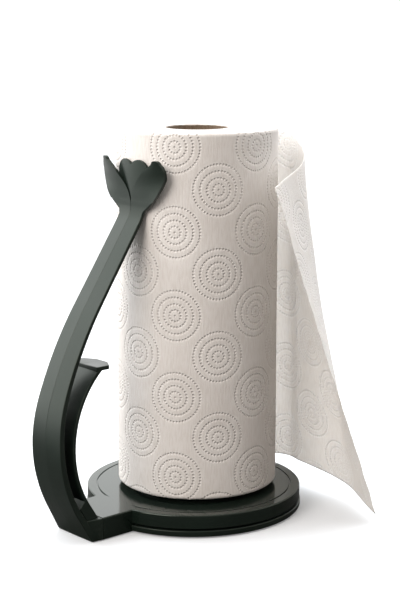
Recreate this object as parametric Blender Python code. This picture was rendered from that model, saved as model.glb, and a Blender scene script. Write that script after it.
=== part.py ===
"""Upright paper towel holder: a weighted round base, a spindle and a sprung arm with a tulip head.

Metres, +Z up. The origin is on the spindle's axis at floor level, and the arm stands towards -X.
All driving dimensions below are in millimetres.
"""

import math

import bmesh
import bpy
from mathutils import Matrix, Vector

MM = 0.001
GAP = 0.3

# Base, from the floor up
MAT_RADIUS, MAT_THICK = 72.0, 0.8
COVER_RADIUS, COVER_TOP = 81.5, 5.5
COVER_BOTTOM = MAT_THICK + GAP
SHELL_RADIUS, SHELL_TOP, SHELL_FLOOR = 81.0, 17.0, 14.0
NECK_RADIUS, WALL_INSIDE = 75.5, 72.5
NECK_BOTTOM, NECK_TOP = COVER_TOP + GAP, 7.0
GROOVE_RADIUS, GROOVE_WIDTH, GROOVE_DEPTH = 73.6, 0.9, 0.7
RIM_BEVEL = 1.0
WEIGHT_RADIUS, WEIGHT_HOLE, WEIGHT_THICK = 69.0, 14.0, 4.6
EXTENSION_HALF, EXTENSION_START, EXTENSION_END = 21.5, -76.0, -104.3
EXTENSION_WALL = 2.6
FOOT_BOTTOM = 0.8
COVER_SCREW_CIRCLE, COVER_SCREW_TURNS = 56.0, (45.0, 135.0, 225.0, 315.0)

# Spindle
SEAT_OUTER, SEAT_TOP = 47.0, 20.8
SPINDLE_RADIUS, SPINDLE_BORE, SPINDLE_TOP = 18.0, 15.6, 252.0
SPIGOT_RADIUS, SPIGOT_TOP = 15.2, 23.0
CAP_HEIGHT = 9.0
ROD_RADIUS, ROD_TOP = 3.0, 246.0

# Roll: pushed off the spindle's axis by the arm until its core meets the spindle
ROLL_OFFSET, ROLL_RADIUS, ROLL_BOTTOM, ROLL_TOP = 3.5, 60.0, SEAT_TOP + GAP, 287.0
CORE_BORE, CORE_OUTER = 22.0, 23.0

# Arm: the outer face in the XZ plane, as stretches of (length, turn in degrees)
ARM_START, ARM_HEADING = (-113.0, 0.0), 29.0
ARM_STRETCHES = ((23.3, 0.0), (88.0, -48.3), (68.4, -14.6), (70.1, 0.0), (10.0, 33.9))
ARM_HALF_WIDTHS = ((0.0, 21.0), (14.0, 19.0), (28.0, 18.0), (75.0, 17.1), (115.0, 15.0), (190.0, 13.6),
                   (259.8, 12.9))
ARM_THICKNESSES = ((0.0, 5.0), (60.0, 4.2), (130.0, 3.4), (180.0, 2.7), (259.8, 2.6))
CREST = ((0.0, 0.2), (60.0, 0.6), (110.0, 1.6), (259.8, 1.6))
HINGE_DISTANCE = 121.0
ARM_SCREW_X, ARM_SCREW_Y = -92.5, 9.5

# Leaf: the face towards the roll, in the same plane
LEAF_START, LEAF_HEADING = (-97.4, 1.8), 30.75
LEAF_STRETCHES = ((30.6, 0.0), (100.0, -76.0), (7.5, -52.0))
LEAF_HALF_WIDTHS = ((0.0, 20.0), (30.0, 18.0), (90.0, 16.4), (129.0, 15.2), (134.0, 12.5), (138.1, 7.5))
LEAF_THICK, LEAF_ROOT_END = 2.6, 34.0
LEAF_SCREW_X, LEAF_SCREW_Y = -110.8, 9.0

# Screws as (head radius, head height, shank radius, length), and the heights that their heads start at
COVER_SCREW, ARM_SCREW, LEAF_SCREW = (3.1, 1.7, 1.2, 11.8), (3.0, 1.7, 1.2, 11.2), (1.85, 1.4, 1.0, 17.9)
BASE_SCREW_BOTTOM, LEAF_SCREW_BOTTOM = 1.3, 2.3

# Tulip head
HEAD_BASE = 0.3
PETAL_THICK = 2.6
PETAL_TIP, PETAL_SPREAD = (26.5, 268.4), 34.5
BUMP_CENTRE, BUMP_RADIUS, BUMP_HEIGHT = 7.2, 9.0, 258.6

# Sheet hanging off the roll: its lower edge droops outwards and its upper edge curls round towards the arm
SHEET_THICK, SHEET_COLUMNS, SHEET_ROWS = 0.8, 21, 10
SHEET_LOWER_EDGE = ((49.3, 40.5, 21.6), (87.9, -1.9, 21.3), (91.3, -24.2, 19.6), (92.6, -46.5, 17.0),
                    (93.0, -64.5, 14.0), (90.0, -83.0, 11.0), (77.0, -109.0, 7.5), (69.5, -124.0, 6.4))
SHEET_UPPER_EDGE = ((49.3, 40.5, 286.6), (84.0, -2.0, 281.0), (80.4, -26.0, 276.0), (70.0, -44.0, 269.0),
                    (58.0, -56.0, 264.0), (42.0, -67.0, 260.0), (14.5, -80.5, 254.5), (-5.0, -90.5, 251.0))

GREEN = ((0.022, 0.030, 0.025), 0.42, 0.0)
RUBBER = ((0.012, 0.012, 0.012), 0.85, 0.0)
STEEL = ((0.45, 0.46, 0.47), 0.38, 1.0)
ZINC = ((0.62, 0.63, 0.65), 0.35, 1.0)
CARD = ((0.36, 0.22, 0.12), 0.9, 0.0)
PAPER = ((0.86, 0.84, 0.82), 0.95, 0.0)


def clear_scene():
    """Remove every object that a new file starts with."""
    for found in list(bpy.data.objects):
        bpy.data.objects.remove(found, do_unlink=True)


def finish_material(name, finish):
    """A Principled material from (colour, roughness, metallic)."""
    colour, roughness, metallic = finish
    made = bpy.data.materials.new(name)
    made.use_nodes = True
    shader = made.node_tree.nodes["Principled BSDF"]
    shader.inputs["Base Color"].default_value = (*colour, 1.0)
    shader.inputs["Roughness"].default_value = roughness
    shader.inputs["Metallic"].default_value = metallic
    return made


def add_object(name, mesh_data, finish=None, origin=(0.0, 0.0, 0.0)):
    """Turn a bmesh in millimetres, given about its own origin, into an object at that origin."""
    bmesh.ops.scale(mesh_data, vec=(MM, MM, MM), verts=mesh_data.verts)
    bmesh.ops.recalc_face_normals(mesh_data, faces=mesh_data.faces)
    mesh = bpy.data.meshes.new(name)
    mesh_data.to_mesh(mesh)
    mesh_data.free()
    made = bpy.data.objects.new(name, mesh)
    made.location = Vector(origin) * MM
    bpy.context.scene.collection.objects.link(made)
    if finish:
        mesh.materials.append(finish_material(name, finish))
        mesh.shade_smooth()
        mesh.set_sharp_from_angle(angle=math.radians(35))
    return made


def turned(profile, steps=64):
    """A solid of revolution about Z from a closed (radius, height) outline."""
    made = bmesh.new()
    outline = [made.verts.new((radius, 0.0, height)) for radius, height in profile]
    edges = [made.edges.new((a, b)) for a, b in zip(outline, outline[1:] + outline[:1])]
    bmesh.ops.spin(made, geom=outline + edges, cent=(0, 0, 0), axis=(0, 0, 1),
                   angle=math.tau, steps=steps, use_merge=True)
    bmesh.ops.remove_doubles(made, verts=made.verts, dist=1e-5)
    bmesh.ops.dissolve_degenerate(made, edges=made.edges, dist=1e-6)
    return made


def box(low, high):
    """A box between two corners."""
    made = bmesh.new()
    centre = (Vector(low) + Vector(high)) / 2
    size = Vector(high) - Vector(low)
    bmesh.ops.create_cube(made, size=1.0, matrix=Matrix.Translation(centre) @ Matrix.Diagonal((*size, 1.0)))
    return made


def rod(radius, low, high, at=(0.0, 0.0), steps=24):
    """A solid cylinder along Z."""
    made = bmesh.new()
    place = Matrix.Translation((at[0], at[1], (low + high) / 2))
    bmesh.ops.create_cone(made, cap_ends=True, segments=steps, radius1=radius, radius2=radius,
                          depth=high - low, matrix=place)
    return made


def loft(rings):
    """A closed solid through rings of points that all have the same count."""
    made = bmesh.new()
    loops = []
    for ring in rings:
        corners = [made.verts.new(point) for point in ring]
        loops.append([made.edges.new((a, b)) for a, b in zip(corners, corners[1:] + corners[:1])])
    for before, after in zip(loops, loops[1:]):
        bmesh.ops.bridge_loops(made, edges=before + after)
    bmesh.ops.edgeloop_fill(made, edges=loops[0])
    bmesh.ops.edgeloop_fill(made, edges=loops[-1])
    return made


def combine(body, other, operation):
    """Join, cut or intersect a body with another object, which stays as its hidden tool."""
    other.hide_render = True
    other.hide_viewport = False
    other.display_type = "WIRE"
    step = body.modifiers.new(f"{operation.lower()}_{other.name}", "BOOLEAN")
    step.operation = operation
    step.solver = "EXACT"
    step.object = other


def tool(name, mesh_data):
    """A helper solid that cuts or joins another one."""
    made = add_object(name, mesh_data)
    made.hide_render = True
    made.display_type = "WIRE"
    return made


def along(table, distance):
    """Read a value from (distance, value) pairs with straight lines between them."""
    for (start, low), (end, high) in zip(table, table[1:]):
        if distance <= end:
            return low + (high - low) * (distance - start) / (end - start)
    return table[-1][1]


def trace(start, heading, stretches, distance):
    """Point and heading in the XZ plane after a distance along straight and round stretches."""
    x, z = start
    angle = math.radians(heading)
    for length, turn in stretches:
        run = min(distance, length)
        bend = math.radians(turn) * run / length
        chord = run if abs(bend) < 1e-9 else run * math.sin(bend / 2) / (bend / 2)
        x -= chord * math.sin(angle + bend / 2)
        z += chord * math.cos(angle + bend / 2)
        angle += bend
        distance -= run
        if distance <= 0:
            break
    return x, z, angle


def stations(stretches, start, end, step):
    """Distances for cross-sections: close together on bends, only the ends on straight runs."""
    marks, reached = {start, end}, 0.0
    for length, turn in stretches:
        count = max(1, round(abs(turn) / step))
        marks.update(reached + length * i / count for i in range(count + 1))
        reached += length
    return sorted(mark for mark in marks if start <= mark <= end)


def ribbon_ring(x, z, angle, half, thick, crest, side):
    """A six-point section square to the path, with two facets meeting at a crest.

    Its thickness goes towards +X where side is +1.
    """
    across = Vector((math.cos(angle), 0.0, math.sin(angle)))
    edge = Vector((x, 0.0, z))
    outer = [edge + Vector((0, y, 0)) - across * rise for y, rise in ((-half, 0), (0, crest), (half, 0))]
    inner = [point + across * thick * side for point in reversed(outer)]
    return outer + inner


def arm_ring(distance):
    """The arm's section at a distance along its outer face."""
    x, z, angle = trace(ARM_START, ARM_HEADING, ARM_STRETCHES, distance)
    return ribbon_ring(x, z, angle, along(ARM_HALF_WIDTHS, distance), along(ARM_THICKNESSES, distance),
                       along(CREST, distance), 1)


def arm_inner_face(height):
    """X of the arm's inner face at a height, low down where the leaf and the foot meet it."""
    distance = height
    while True:
        x, z, angle = trace(ARM_START, ARM_HEADING, ARM_STRETCHES, distance)
        thick = along(ARM_THICKNESSES, distance)
        if z + thick * math.sin(angle) >= height:
            return x + thick * math.cos(angle)
        distance += 0.25


def arm_total():
    """Length of the whole arm along its outer face."""
    return sum(length for length, _ in ARM_STRETCHES)


def build_base():
    """Shell, ballast, cover, mat, pads and the screws that hold them."""
    build_shell()
    weight_bottom = COVER_TOP + GAP
    weight_top = weight_bottom + WEIGHT_THICK
    weight = add_object("weight_plate", turned((
        (WEIGHT_HOLE, weight_bottom), (WEIGHT_RADIUS, weight_bottom), (WEIGHT_RADIUS, weight_top),
        (WEIGHT_HOLE, weight_top)), 48), STEEL)
    cover = add_object("bottom_cover", turned((
        (0.0, COVER_BOTTOM), (COVER_RADIUS - 0.8, COVER_BOTTOM), (COVER_RADIUS, COVER_BOTTOM + 0.8),
        (COVER_RADIUS, COVER_TOP - 0.6), (COVER_RADIUS - 0.6, COVER_TOP), (0.0, COVER_TOP)), 72), GREEN)
    notch = box((-100, -EXTENSION_HALF - GAP, -5), (EXTENSION_START + GAP, EXTENSION_HALF + GAP, 20))
    combine(cover, tool("extension_notch", notch), "DIFFERENCE")
    for number, (x, y) in enumerate(cover_screw_places()):
        combine(weight, tool(f"weight_hole_{number}", rod(2.0, 0, 20, (x, y), 12)), "DIFFERENCE")
        combine(cover, tool(f"cover_hole_{number}", rod(1.9, 0, 20, (x, y), 12)), "DIFFERENCE")
        combine(cover, tool(f"cover_sink_{number}", rod(3.5, -2, 3.3, (x, y), 16)), "DIFFERENCE")
        add_object(f"cover_screw_{number + 1}", screw(*COVER_SCREW), ZINC, (x, y, BASE_SCREW_BOTTOM))
    add_object("grip_mat", rod(MAT_RADIUS, 0, MAT_THICK, steps=64), RUBBER)
    add_object("foot_pad", box((-100.5, -16.0, 0.0), (-84.5, 16.0, MAT_THICK)), RUBBER)


def build_shell():
    """The top shell: a turned disc with its extension towards the arm, bosses and the spindle's spigot."""
    shell = add_object("base_shell", turned((
        (0.0, SHELL_TOP), (GROOVE_RADIUS - GROOVE_WIDTH / 2, SHELL_TOP),
        (GROOVE_RADIUS, SHELL_TOP - GROOVE_DEPTH), (GROOVE_RADIUS + GROOVE_WIDTH / 2, SHELL_TOP),
        (SHELL_RADIUS - RIM_BEVEL, SHELL_TOP), (SHELL_RADIUS, SHELL_TOP - RIM_BEVEL), (SHELL_RADIUS, NECK_TOP),
        (NECK_RADIUS, NECK_TOP), (NECK_RADIUS, NECK_BOTTOM), (WALL_INSIDE, NECK_BOTTOM),
        (WALL_INSIDE, SHELL_FLOOR), (0.0, SHELL_FLOOR),
    ), 72), GREEN)
    low_corner = (EXTENSION_END, -EXTENSION_HALF, FOOT_BOTTOM)
    extension = box(low_corner, (EXTENSION_START, EXTENSION_HALF, SHELL_TOP))
    top_edges = [edge for edge in extension.edges if is_long_top_edge(edge)]
    bmesh.ops.bevel(extension, geom=top_edges, offset=RIM_BEVEL, segments=1, profile=0.5, affect="EDGES",
                    material=-1)
    combine(shell, tool("join_extension", extension), "UNION")
    inside = EXTENSION_HALF - EXTENSION_WALL
    hollow = box((EXTENSION_END + EXTENSION_WALL, -inside, -5), (EXTENSION_START - 2.4, inside, SHELL_FLOOR))
    combine(shell, tool("hollow_extension", hollow), "DIFFERENCE")
    toe_way = box((EXTENSION_END - 2, -inside, -5), (EXTENSION_END + 4, inside, 7.0))
    combine(shell, tool("toe_way", toe_way), "DIFFERENCE")
    combine(shell, tool("spigot", rod(SPIGOT_RADIUS, SHELL_TOP - 1, SPIGOT_TOP, steps=32)), "UNION")
    combine(shell, tool("rod_hole", rod(ROD_RADIUS + 0.4, 10, 30)), "DIFFERENCE")
    boss_top = SHELL_FLOOR + 1
    for number, (x, y) in enumerate(arm_screw_places()):
        combine(shell, tool(f"arm_boss_{number}", rod(3.6, 7.2, boss_top, (x, y), 16)), "UNION")
        combine(shell, tool(f"arm_pilot_{number}", rod(1.6, 0, 13.0, (x, y), 12)), "DIFFERENCE")
    for number, (x, y) in enumerate(cover_screw_places()):
        combine(shell, tool(f"cover_boss_{number}", rod(4.0, 10.8, boss_top, (x, y), 16)), "UNION")
        combine(shell, tool(f"cover_pilot_{number}", rod(1.6, 0, 15.0, (x, y), 12)), "DIFFERENCE")


def is_long_top_edge(edge):
    """Whether an edge of the extension lies in its top and runs along X."""
    start, end = (vert.co for vert in edge.verts)
    return min(start.z, end.z) > SHELL_TOP - 0.1 and abs(start.y - end.y) < 1


def cover_screw_places():
    """Centres of the four screws that close the base."""
    turns = [math.radians(turn) for turn in COVER_SCREW_TURNS]
    return [(COVER_SCREW_CIRCLE * math.cos(turn), COVER_SCREW_CIRCLE * math.sin(turn)) for turn in turns]


def arm_screw_places():
    """Centres of the two screws through the arm's toe."""
    return [(ARM_SCREW_X, -ARM_SCREW_Y), (ARM_SCREW_X, ARM_SCREW_Y)]


def leaf_screw_places():
    """Centres of the two screws that hold the leaf's root down on the foot."""
    return [(LEAF_SCREW_X, -LEAF_SCREW_Y), (LEAF_SCREW_X, LEAF_SCREW_Y)]


def screw(head_radius, head_height, shank_radius, length):
    """A pan-head screw standing on its head, with a plain shank and a point."""
    return turned(((0.0, 0.0), (head_radius - 0.5, 0.0), (head_radius, 0.5), (head_radius, head_height),
                   (shank_radius, head_height), (shank_radius, length - 1.0), (0.0, length)), 16)


def build_spindle():
    """Roll seat, spindle tube, its cap and the tie rod that clamps them."""
    add_object("roll_seat", turned((
        (SPINDLE_RADIUS + GAP, SHELL_TOP + GAP), (SEAT_OUTER, SHELL_TOP + GAP), (SEAT_OUTER, SEAT_TOP - 1.2),
        (SEAT_OUTER - 1.2, SEAT_TOP), (SPINDLE_RADIUS + GAP, SEAT_TOP)), 48), GREEN)
    add_object("spindle_tube", turned((
        (SPINDLE_BORE, SHELL_TOP + GAP), (SPINDLE_RADIUS, SHELL_TOP + GAP), (SPINDLE_RADIUS, SPINDLE_TOP),
        (SPINDLE_BORE, SPINDLE_TOP)), 40), GREEN)
    under, plug = SPINDLE_TOP + GAP, SPINDLE_BORE - GAP
    turns = [math.radians(turn) for turn in range(0, 90, 15)]
    dome = [(SPINDLE_RADIUS * math.cos(turn), under + 2 + (CAP_HEIGHT - 2) * math.sin(turn)) for turn in turns]
    cap = add_object("spindle_cap", turned((
        (SPINDLE_RADIUS, under), *dome, (0.0, under + CAP_HEIGHT), (0.0, under - 12), (plug, under - 12),
        (plug, under)), 40), GREEN)
    combine(cap, tool("cap_bore", rod(ROD_RADIUS + GAP, under - 20, ROD_TOP + 1)), "DIFFERENCE")
    head_bottom = 7.4
    add_object("tie_rod", turned((
        (0.0, head_bottom), (5.0, head_bottom), (5.0, 11.6), (ROD_RADIUS, 11.6), (ROD_RADIUS, ROD_TOP),
        (0.0, ROD_TOP)), 24), ZINC)
    add_object("tie_rod_washer", turned((
        (ROD_RADIUS + GAP, 11.9), (9.0, 11.9), (9.0, 13.5), (ROD_RADIUS + GAP, 13.5)), 32), ZINC)


def build_arm():
    """Lower arm with its foot, leaf, and the screws that fix them to the base."""
    marks = stations(ARM_STRETCHES, 0.0, HINGE_DISTANCE - GAP / 2, 9.0)
    lower = add_object("lower_arm", loft([arm_ring(mark) for mark in marks]), GREEN)
    seam = EXTENSION_END - GAP
    rings = []
    for height in (FOOT_BOTTOM, SHELL_TOP - GAP):
        face = arm_inner_face(height) - 1.5
        half = 18.4 if height > 5 else 20.6
        rings.append([(seam, -EXTENSION_HALF, height), (seam, EXTENSION_HALF, height), (face, half, height),
                      (face, -half, height)])
    combine(lower, tool("foot_block", loft(rings)), "UNION")
    combine(lower, tool("toe", box((-108, -18.4, MAT_THICK + GAP), (-84.0, 18.4, 6.7))), "UNION")
    combine(lower, tool("foot_floor", box((-160, -40, -20), (-50, 40, FOOT_BOTTOM))), "DIFFERENCE")
    for number, (x, y) in enumerate(arm_screw_places()):
        combine(lower, tool(f"toe_hole_{number}", rod(1.7, 0, 10, (x, y), 12)), "DIFFERENCE")
        combine(lower, tool(f"toe_sink_{number}", rod(3.4, -2, 3.3, (x, y), 16)), "DIFFERENCE")
        add_object(f"arm_screw_{number + 1}", screw(*ARM_SCREW), ZINC, (x, y, BASE_SCREW_BOTTOM))

    total = sum(length for length, _ in LEAF_STRETCHES)
    rings = []
    for mark in stations(LEAF_STRETCHES, 8.0, total, 9.0):
        x, z, angle = trace(LEAF_START, LEAF_HEADING, LEAF_STRETCHES, mark)
        thick = leaf_thickness(x, z, angle, mark)
        rings.append(ribbon_ring(x, z, angle, along(LEAF_HALF_WIDTHS, mark), thick, 0.0, -1))
    leaf = add_object("leaf", loft(rings), GREEN)
    combine(leaf, tool("leaf_floor", box((-160, -40, -20), (-50, 40, SHELL_TOP))), "DIFFERENCE")
    for number, (x, y) in enumerate(leaf_screw_places()):
        combine(lower, tool(f"foot_hole_{number}", rod(1.3, -2, 30, (x, y), 12)), "DIFFERENCE")
        combine(lower, tool(f"foot_sink_{number}", rod(2.05, -2, 4.3, (x, y), 16)), "DIFFERENCE")
        combine(leaf, tool(f"leaf_pilot_{number}", rod(1.2, 0, 20.5, (x, y), 12)), "DIFFERENCE")
        add_object(f"leaf_screw_{number + 1}", screw(*LEAF_SCREW), ZINC, (x, y, LEAF_SCREW_BOTTOM))


def leaf_thickness(x, z, angle, mark):
    """Solid back to the arm at the root, then a thin blade."""
    if mark > LEAF_ROOT_END:
        return LEAF_THICK
    depth = 0.0
    while x - depth * math.cos(angle) > arm_inner_face(z - depth * math.sin(angle)) + GAP + 0.15:
        depth += 0.1
    return depth


def head_front(y, z):
    """X of the front faces of the side petals: a wide curve whose top flares away from the roll."""
    rise = max(0.0, (z - 246.0) / 22.0)
    return -60.6 + y * y / 190.0 - 4.0 * rise ** 1.3


def head_back(y):
    """X of the middle petals' front, which follows the roll."""
    return ROLL_OFFSET - math.sqrt((ROLL_RADIUS + GAP + 2.2) ** 2 - y * y)


def plate(columns, front, thick):
    """A curved plate from columns of (y, low z, high z), with its front face given by a function."""
    rings = []
    for y, low, high in columns:
        heights = [low + (high - low) * i / 6 for i in range(7)]
        face = [(front(y, z), y, z) for z in heights]
        rings.append(face + [(x + thick, y, z) for x, _, z in reversed(face)])
    return loft(rings)


def petal_rows(side):
    """Rows of a side petal as (z, inner y, outer y), from the stem to the tip."""
    tip_y, tip_z = PETAL_TIP
    base = arm_top() + HEAD_BASE
    rows = []
    for i in range(13):
        t = i / 12
        z = base + (tip_z - base) * math.sin(t * math.pi / 2) ** 1.15
        level = (z - base) / (tip_z - base)
        outer = 12.9 + (PETAL_SPREAD - 12.9) * math.sin(min(1.0, level / 0.66) * math.pi / 2) ** 0.9
        if level > 0.66:
            outer = tip_y + 1.2 + (PETAL_SPREAD - tip_y - 1.2) * math.cos((level - 0.66) / 0.34 * math.pi / 2)
        inner = (tip_y + 0.8) * level ** 1.6 - 2.0
        rows.append((z, side * inner, side * outer))
    return rows


def arm_top():
    """Height of the stem's top end."""
    return trace(ARM_START, ARM_HEADING, ARM_STRETCHES, arm_total())[1]


def petal(side):
    """One side petal, standing in front of the middle ones."""
    rings = []
    for z, inner, outer in petal_rows(side):
        across = [inner + (outer - inner) * i / 4 for i in range(5)]
        face = [(head_front(y, z), y, z) for y in across]
        rings.append(face + [(x + PETAL_THICK, y, z) for x, y, _ in reversed(face)])
    return loft(rings)


def build_stem():
    """The upper stem and the tulip head, which swing out together about the flexing line."""
    pivot = flex_pivot()
    marks = stations(ARM_STRETCHES, HINGE_DISTANCE + GAP / 2, arm_total(), 6.0)
    stem = loft([arm_ring(mark) for mark in marks])
    bmesh.ops.translate(stem, vec=-pivot, verts=stem.verts)
    add_object("upper_stem", stem, GREEN, pivot)

    base = arm_top() + HEAD_BASE
    columns = []
    for i in range(21):
        y = -16.0 + 32.0 * i / 20
        top = BUMP_HEIGHT + math.sqrt(max(0.0, BUMP_RADIUS ** 2 - (abs(y) - BUMP_CENTRE) ** 2))
        low = base + 0.2 if abs(y) < 12.5 else base + 3.0
        columns.append((y, low, top))
    middle = plate(columns, lambda y, z: head_back(y), 2.0)
    bmesh.ops.translate(middle, vec=-pivot, verts=middle.verts)
    head = add_object("tulip_head", middle, GREEN, pivot)
    for side, name in ((-1, "near_petal"), (1, "far_petal")):
        leafy = petal(side)
        bmesh.ops.translate(leafy, vec=-pivot, verts=leafy.verts)
        made = tool(name, leafy)
        made.location = pivot * MM
        combine(head, made, "UNION")


def flex_pivot():
    """The point on the arm's crest about which the stem swings."""
    x, z, angle = trace(ARM_START, ARM_HEADING, ARM_STRETCHES, HINGE_DISTANCE)
    crest = along(CREST, HINGE_DISTANCE)
    return Vector((x - crest * math.cos(angle), 0.0, z - crest * math.sin(angle)))


def build_roll():
    """Cardboard core, wound paper and the loose sheet."""
    height = ROLL_TOP - ROLL_BOTTOM
    tube = ((CORE_BORE, 0.0), (CORE_OUTER, 0.0), (CORE_OUTER, height), (CORE_BORE, height))
    wound = ((CORE_OUTER + GAP, 0.0), (ROLL_RADIUS - 1.0, 0.0), (ROLL_RADIUS, 1.0), (ROLL_RADIUS, height - 1.0),
             (ROLL_RADIUS - 1.0, height), (CORE_OUTER + GAP, height))
    add_object("roll_core", turned(tube, 40), CARD, (ROLL_OFFSET, 0, ROLL_BOTTOM))
    add_object("paper_roll", turned(wound, 64), PAPER, (ROLL_OFFSET, 0, ROLL_BOTTOM))
    add_object("loose_sheet", loose_sheet(), PAPER)


def loose_sheet():
    """A thin ruled surface between the sheet's two edges, thickened."""
    made = bmesh.new()
    bmesh.ops.create_grid(made, x_segments=SHEET_COLUMNS, y_segments=SHEET_ROWS, size=0.5)
    for vert in made.verts:
        share, level = vert.co.x + 0.5, vert.co.y + 0.5
        vert.co = route_point(SHEET_LOWER_EDGE, share).lerp(route_point(SHEET_UPPER_EDGE, share), level)
    bmesh.ops.triangulate(made, faces=made.faces, quad_method="FIXED")
    made.normal_update()
    bmesh.ops.solidify(made, geom=made.faces[:], thickness=SHEET_THICK)
    return made


def route_point(points, share):
    """A point on the smooth curve through the given ones, at a share from 0 to 1 of the way."""
    corners = [Vector(point) for point in points]
    padded = [2 * corners[0] - corners[1], *corners, 2 * corners[-1] - corners[-2]]
    reach = share * (len(corners) - 1)
    number = min(int(reach), len(corners) - 2)
    t = reach - number
    a, b, c, d = padded[number:number + 4]
    return 0.5 * (2 * b + (c - a) * t + (2 * a - 5 * b + 4 * c - d) * t * t + (3 * b - a - 3 * c + d) * t ** 3)


def main():
    """Build the whole holder."""
    clear_scene()
    build_base()
    build_spindle()
    build_arm()
    build_stem()
    build_roll()


main()
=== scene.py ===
"""Looks of an upright paper towel holder: weighted base, spindle, sprung arm with a tulip head, and its roll.

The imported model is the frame. Sizes are in millimetres, about the spindle's axis at floor level with +Z up and
the arm towards -X; every finished piece is scaled to metres and keeps its place in its mesh.
"""

from __future__ import annotations

import logging
import math
from collections.abc import Callable, Iterable, Sequence
from dataclasses import dataclass
from enum import Enum

import bmesh
import bpy
from mathutils import Matrix, Vector, noise


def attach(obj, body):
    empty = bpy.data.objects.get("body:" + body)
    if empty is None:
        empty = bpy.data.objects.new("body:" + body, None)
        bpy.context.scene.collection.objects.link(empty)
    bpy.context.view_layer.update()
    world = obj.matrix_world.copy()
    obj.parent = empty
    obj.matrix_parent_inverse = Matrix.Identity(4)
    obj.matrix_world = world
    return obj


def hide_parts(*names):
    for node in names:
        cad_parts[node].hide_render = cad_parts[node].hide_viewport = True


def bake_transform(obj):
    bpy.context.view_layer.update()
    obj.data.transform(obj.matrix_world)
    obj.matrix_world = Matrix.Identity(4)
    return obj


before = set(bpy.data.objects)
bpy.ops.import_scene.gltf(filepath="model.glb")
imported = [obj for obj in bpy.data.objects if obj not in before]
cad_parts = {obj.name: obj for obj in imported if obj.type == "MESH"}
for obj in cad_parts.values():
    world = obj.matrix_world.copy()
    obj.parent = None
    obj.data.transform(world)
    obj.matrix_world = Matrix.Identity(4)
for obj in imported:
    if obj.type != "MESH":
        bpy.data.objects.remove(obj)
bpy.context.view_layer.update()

LOG = logging.getLogger("towel_holder")
MM = 0.001
GAP = 0.3

Form = bmesh.types.BMesh
Piece = bpy.types.Object
Material = bpy.types.Material
Socket = bpy.types.NodeSocket
Colour = tuple[float, float, float]
Point = tuple[float, float, float]


class Body(Enum):
    """The bodies that pieces ride on."""

    BASE = "base"
    ARM = "arm"
    SHEET = "sheet"
    ROLL = "roll"


class Slot(Enum):
    """The finishes that the record names."""

    GREEN = "green_plastic"
    RUBBER = "rubber"
    BALLAST = "ballast_steel"
    ZINC = "zinc_steel"
    CARDBOARD = "cardboard"
    PAPER = "paper"


class Join(Enum):
    """How a tool changes the piece that it is used on."""

    ADD = "UNION"
    CUT = "DIFFERENCE"


# ---------------------------------------------------------------- shapes


@dataclass(frozen=True)
class Corner:
    """A corner of a turned outline: radius, height and how far the corner is rounded."""

    radius: float
    height: float
    rounding: float = 0.0


@dataclass(frozen=True)
class Graph:
    """A value that changes along a length, from (distance, value) knots."""

    knots: tuple[tuple[float, float], ...]
    reach: float = 0.0

    def straight(self, distance: float) -> float:
        """Read the value with straight lines between the knots."""
        for (start, low), (end, high) in zip(self.knots, self.knots[1:]):
            if distance <= end:
                return low + (high - low) * max(0.0, distance - start) / (end - start)
        return self.knots[-1][1]

    def at(self, distance: float) -> float:
        """Read the value with the knots' corners smoothed over the reach."""
        shares = (-1.0, -0.5, 0.0, 0.5, 1.0)
        return sum(self.straight(distance + share * self.reach) for share in shares) / len(shares)


@dataclass(frozen=True)
class Route:
    """A route in the XZ plane as stretches of (length, turn in degrees) from a start and a heading."""

    start: tuple[float, float]
    heading: float
    stretches: tuple[tuple[float, float], ...]

    def length(self) -> float:
        """Length of the whole route."""
        return sum(length for length, _ in self.stretches)

    def at(self, distance: float) -> tuple[float, float, float]:
        """Follow the route.

        Args:
            distance: how far along the route, in millimetres.

        Returns:
            X, Z and the heading in radians, where a positive heading leans towards -X.
        """
        x, z = self.start
        angle = math.radians(self.heading)
        for length, turn in self.stretches:
            run = min(distance, length)
            bend = math.radians(turn) * run / length
            chord = run if abs(bend) < 1e-9 else run * math.sin(bend / 2) / (bend / 2)
            x -= chord * math.sin(angle + bend / 2)
            z += chord * math.cos(angle + bend / 2)
            angle += bend
            distance -= run
            if distance <= 0:
                break
        beyond = max(0.0, distance)
        return x - beyond * math.sin(angle), z + beyond * math.cos(angle), angle


def ease(value: float) -> float:
    """Smooth step from 0 to 1."""
    value = min(1.0, max(0.0, value))
    return value * value * (3.0 - 2.0 * value)


def turned(outline: Sequence[Corner], steps: int = 128, rounds: int = 3) -> Form:
    """Turn a closed outline about Z.

    Args:
        outline: the corners in order round the section.
        steps: facets round the axis.
        rounds: segments in each rounded corner.

    Returns:
        The closed form, in millimetres.
    """
    form = bmesh.new()
    corners = [form.verts.new((corner.radius, 0.0, corner.height)) for corner in outline]
    form.faces.new(corners)
    for rounding in sorted({corner.rounding for corner in outline if corner.rounding}):
        chosen = [vert for vert, corner in zip(corners, outline) if corner.rounding == rounding]
        bmesh.ops.bevel(form, geom=chosen, offset=rounding, segments=rounds, profile=0.5,
                        affect="VERTICES", material=-1)
    bmesh.ops.delete(form, geom=form.faces[:], context="FACES_ONLY")
    axis = [edge for edge in form.edges if all(vert.co.x < 1e-4 for vert in edge.verts)]
    bmesh.ops.delete(form, geom=axis, context="EDGES")
    bmesh.ops.spin(form, geom=form.verts[:] + form.edges[:], cent=(0, 0, 0), axis=(0, 0, 1),
                   angle=math.tau, steps=steps, use_merge=True)
    bmesh.ops.remove_doubles(form, verts=form.verts, dist=1e-3)
    return form


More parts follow.
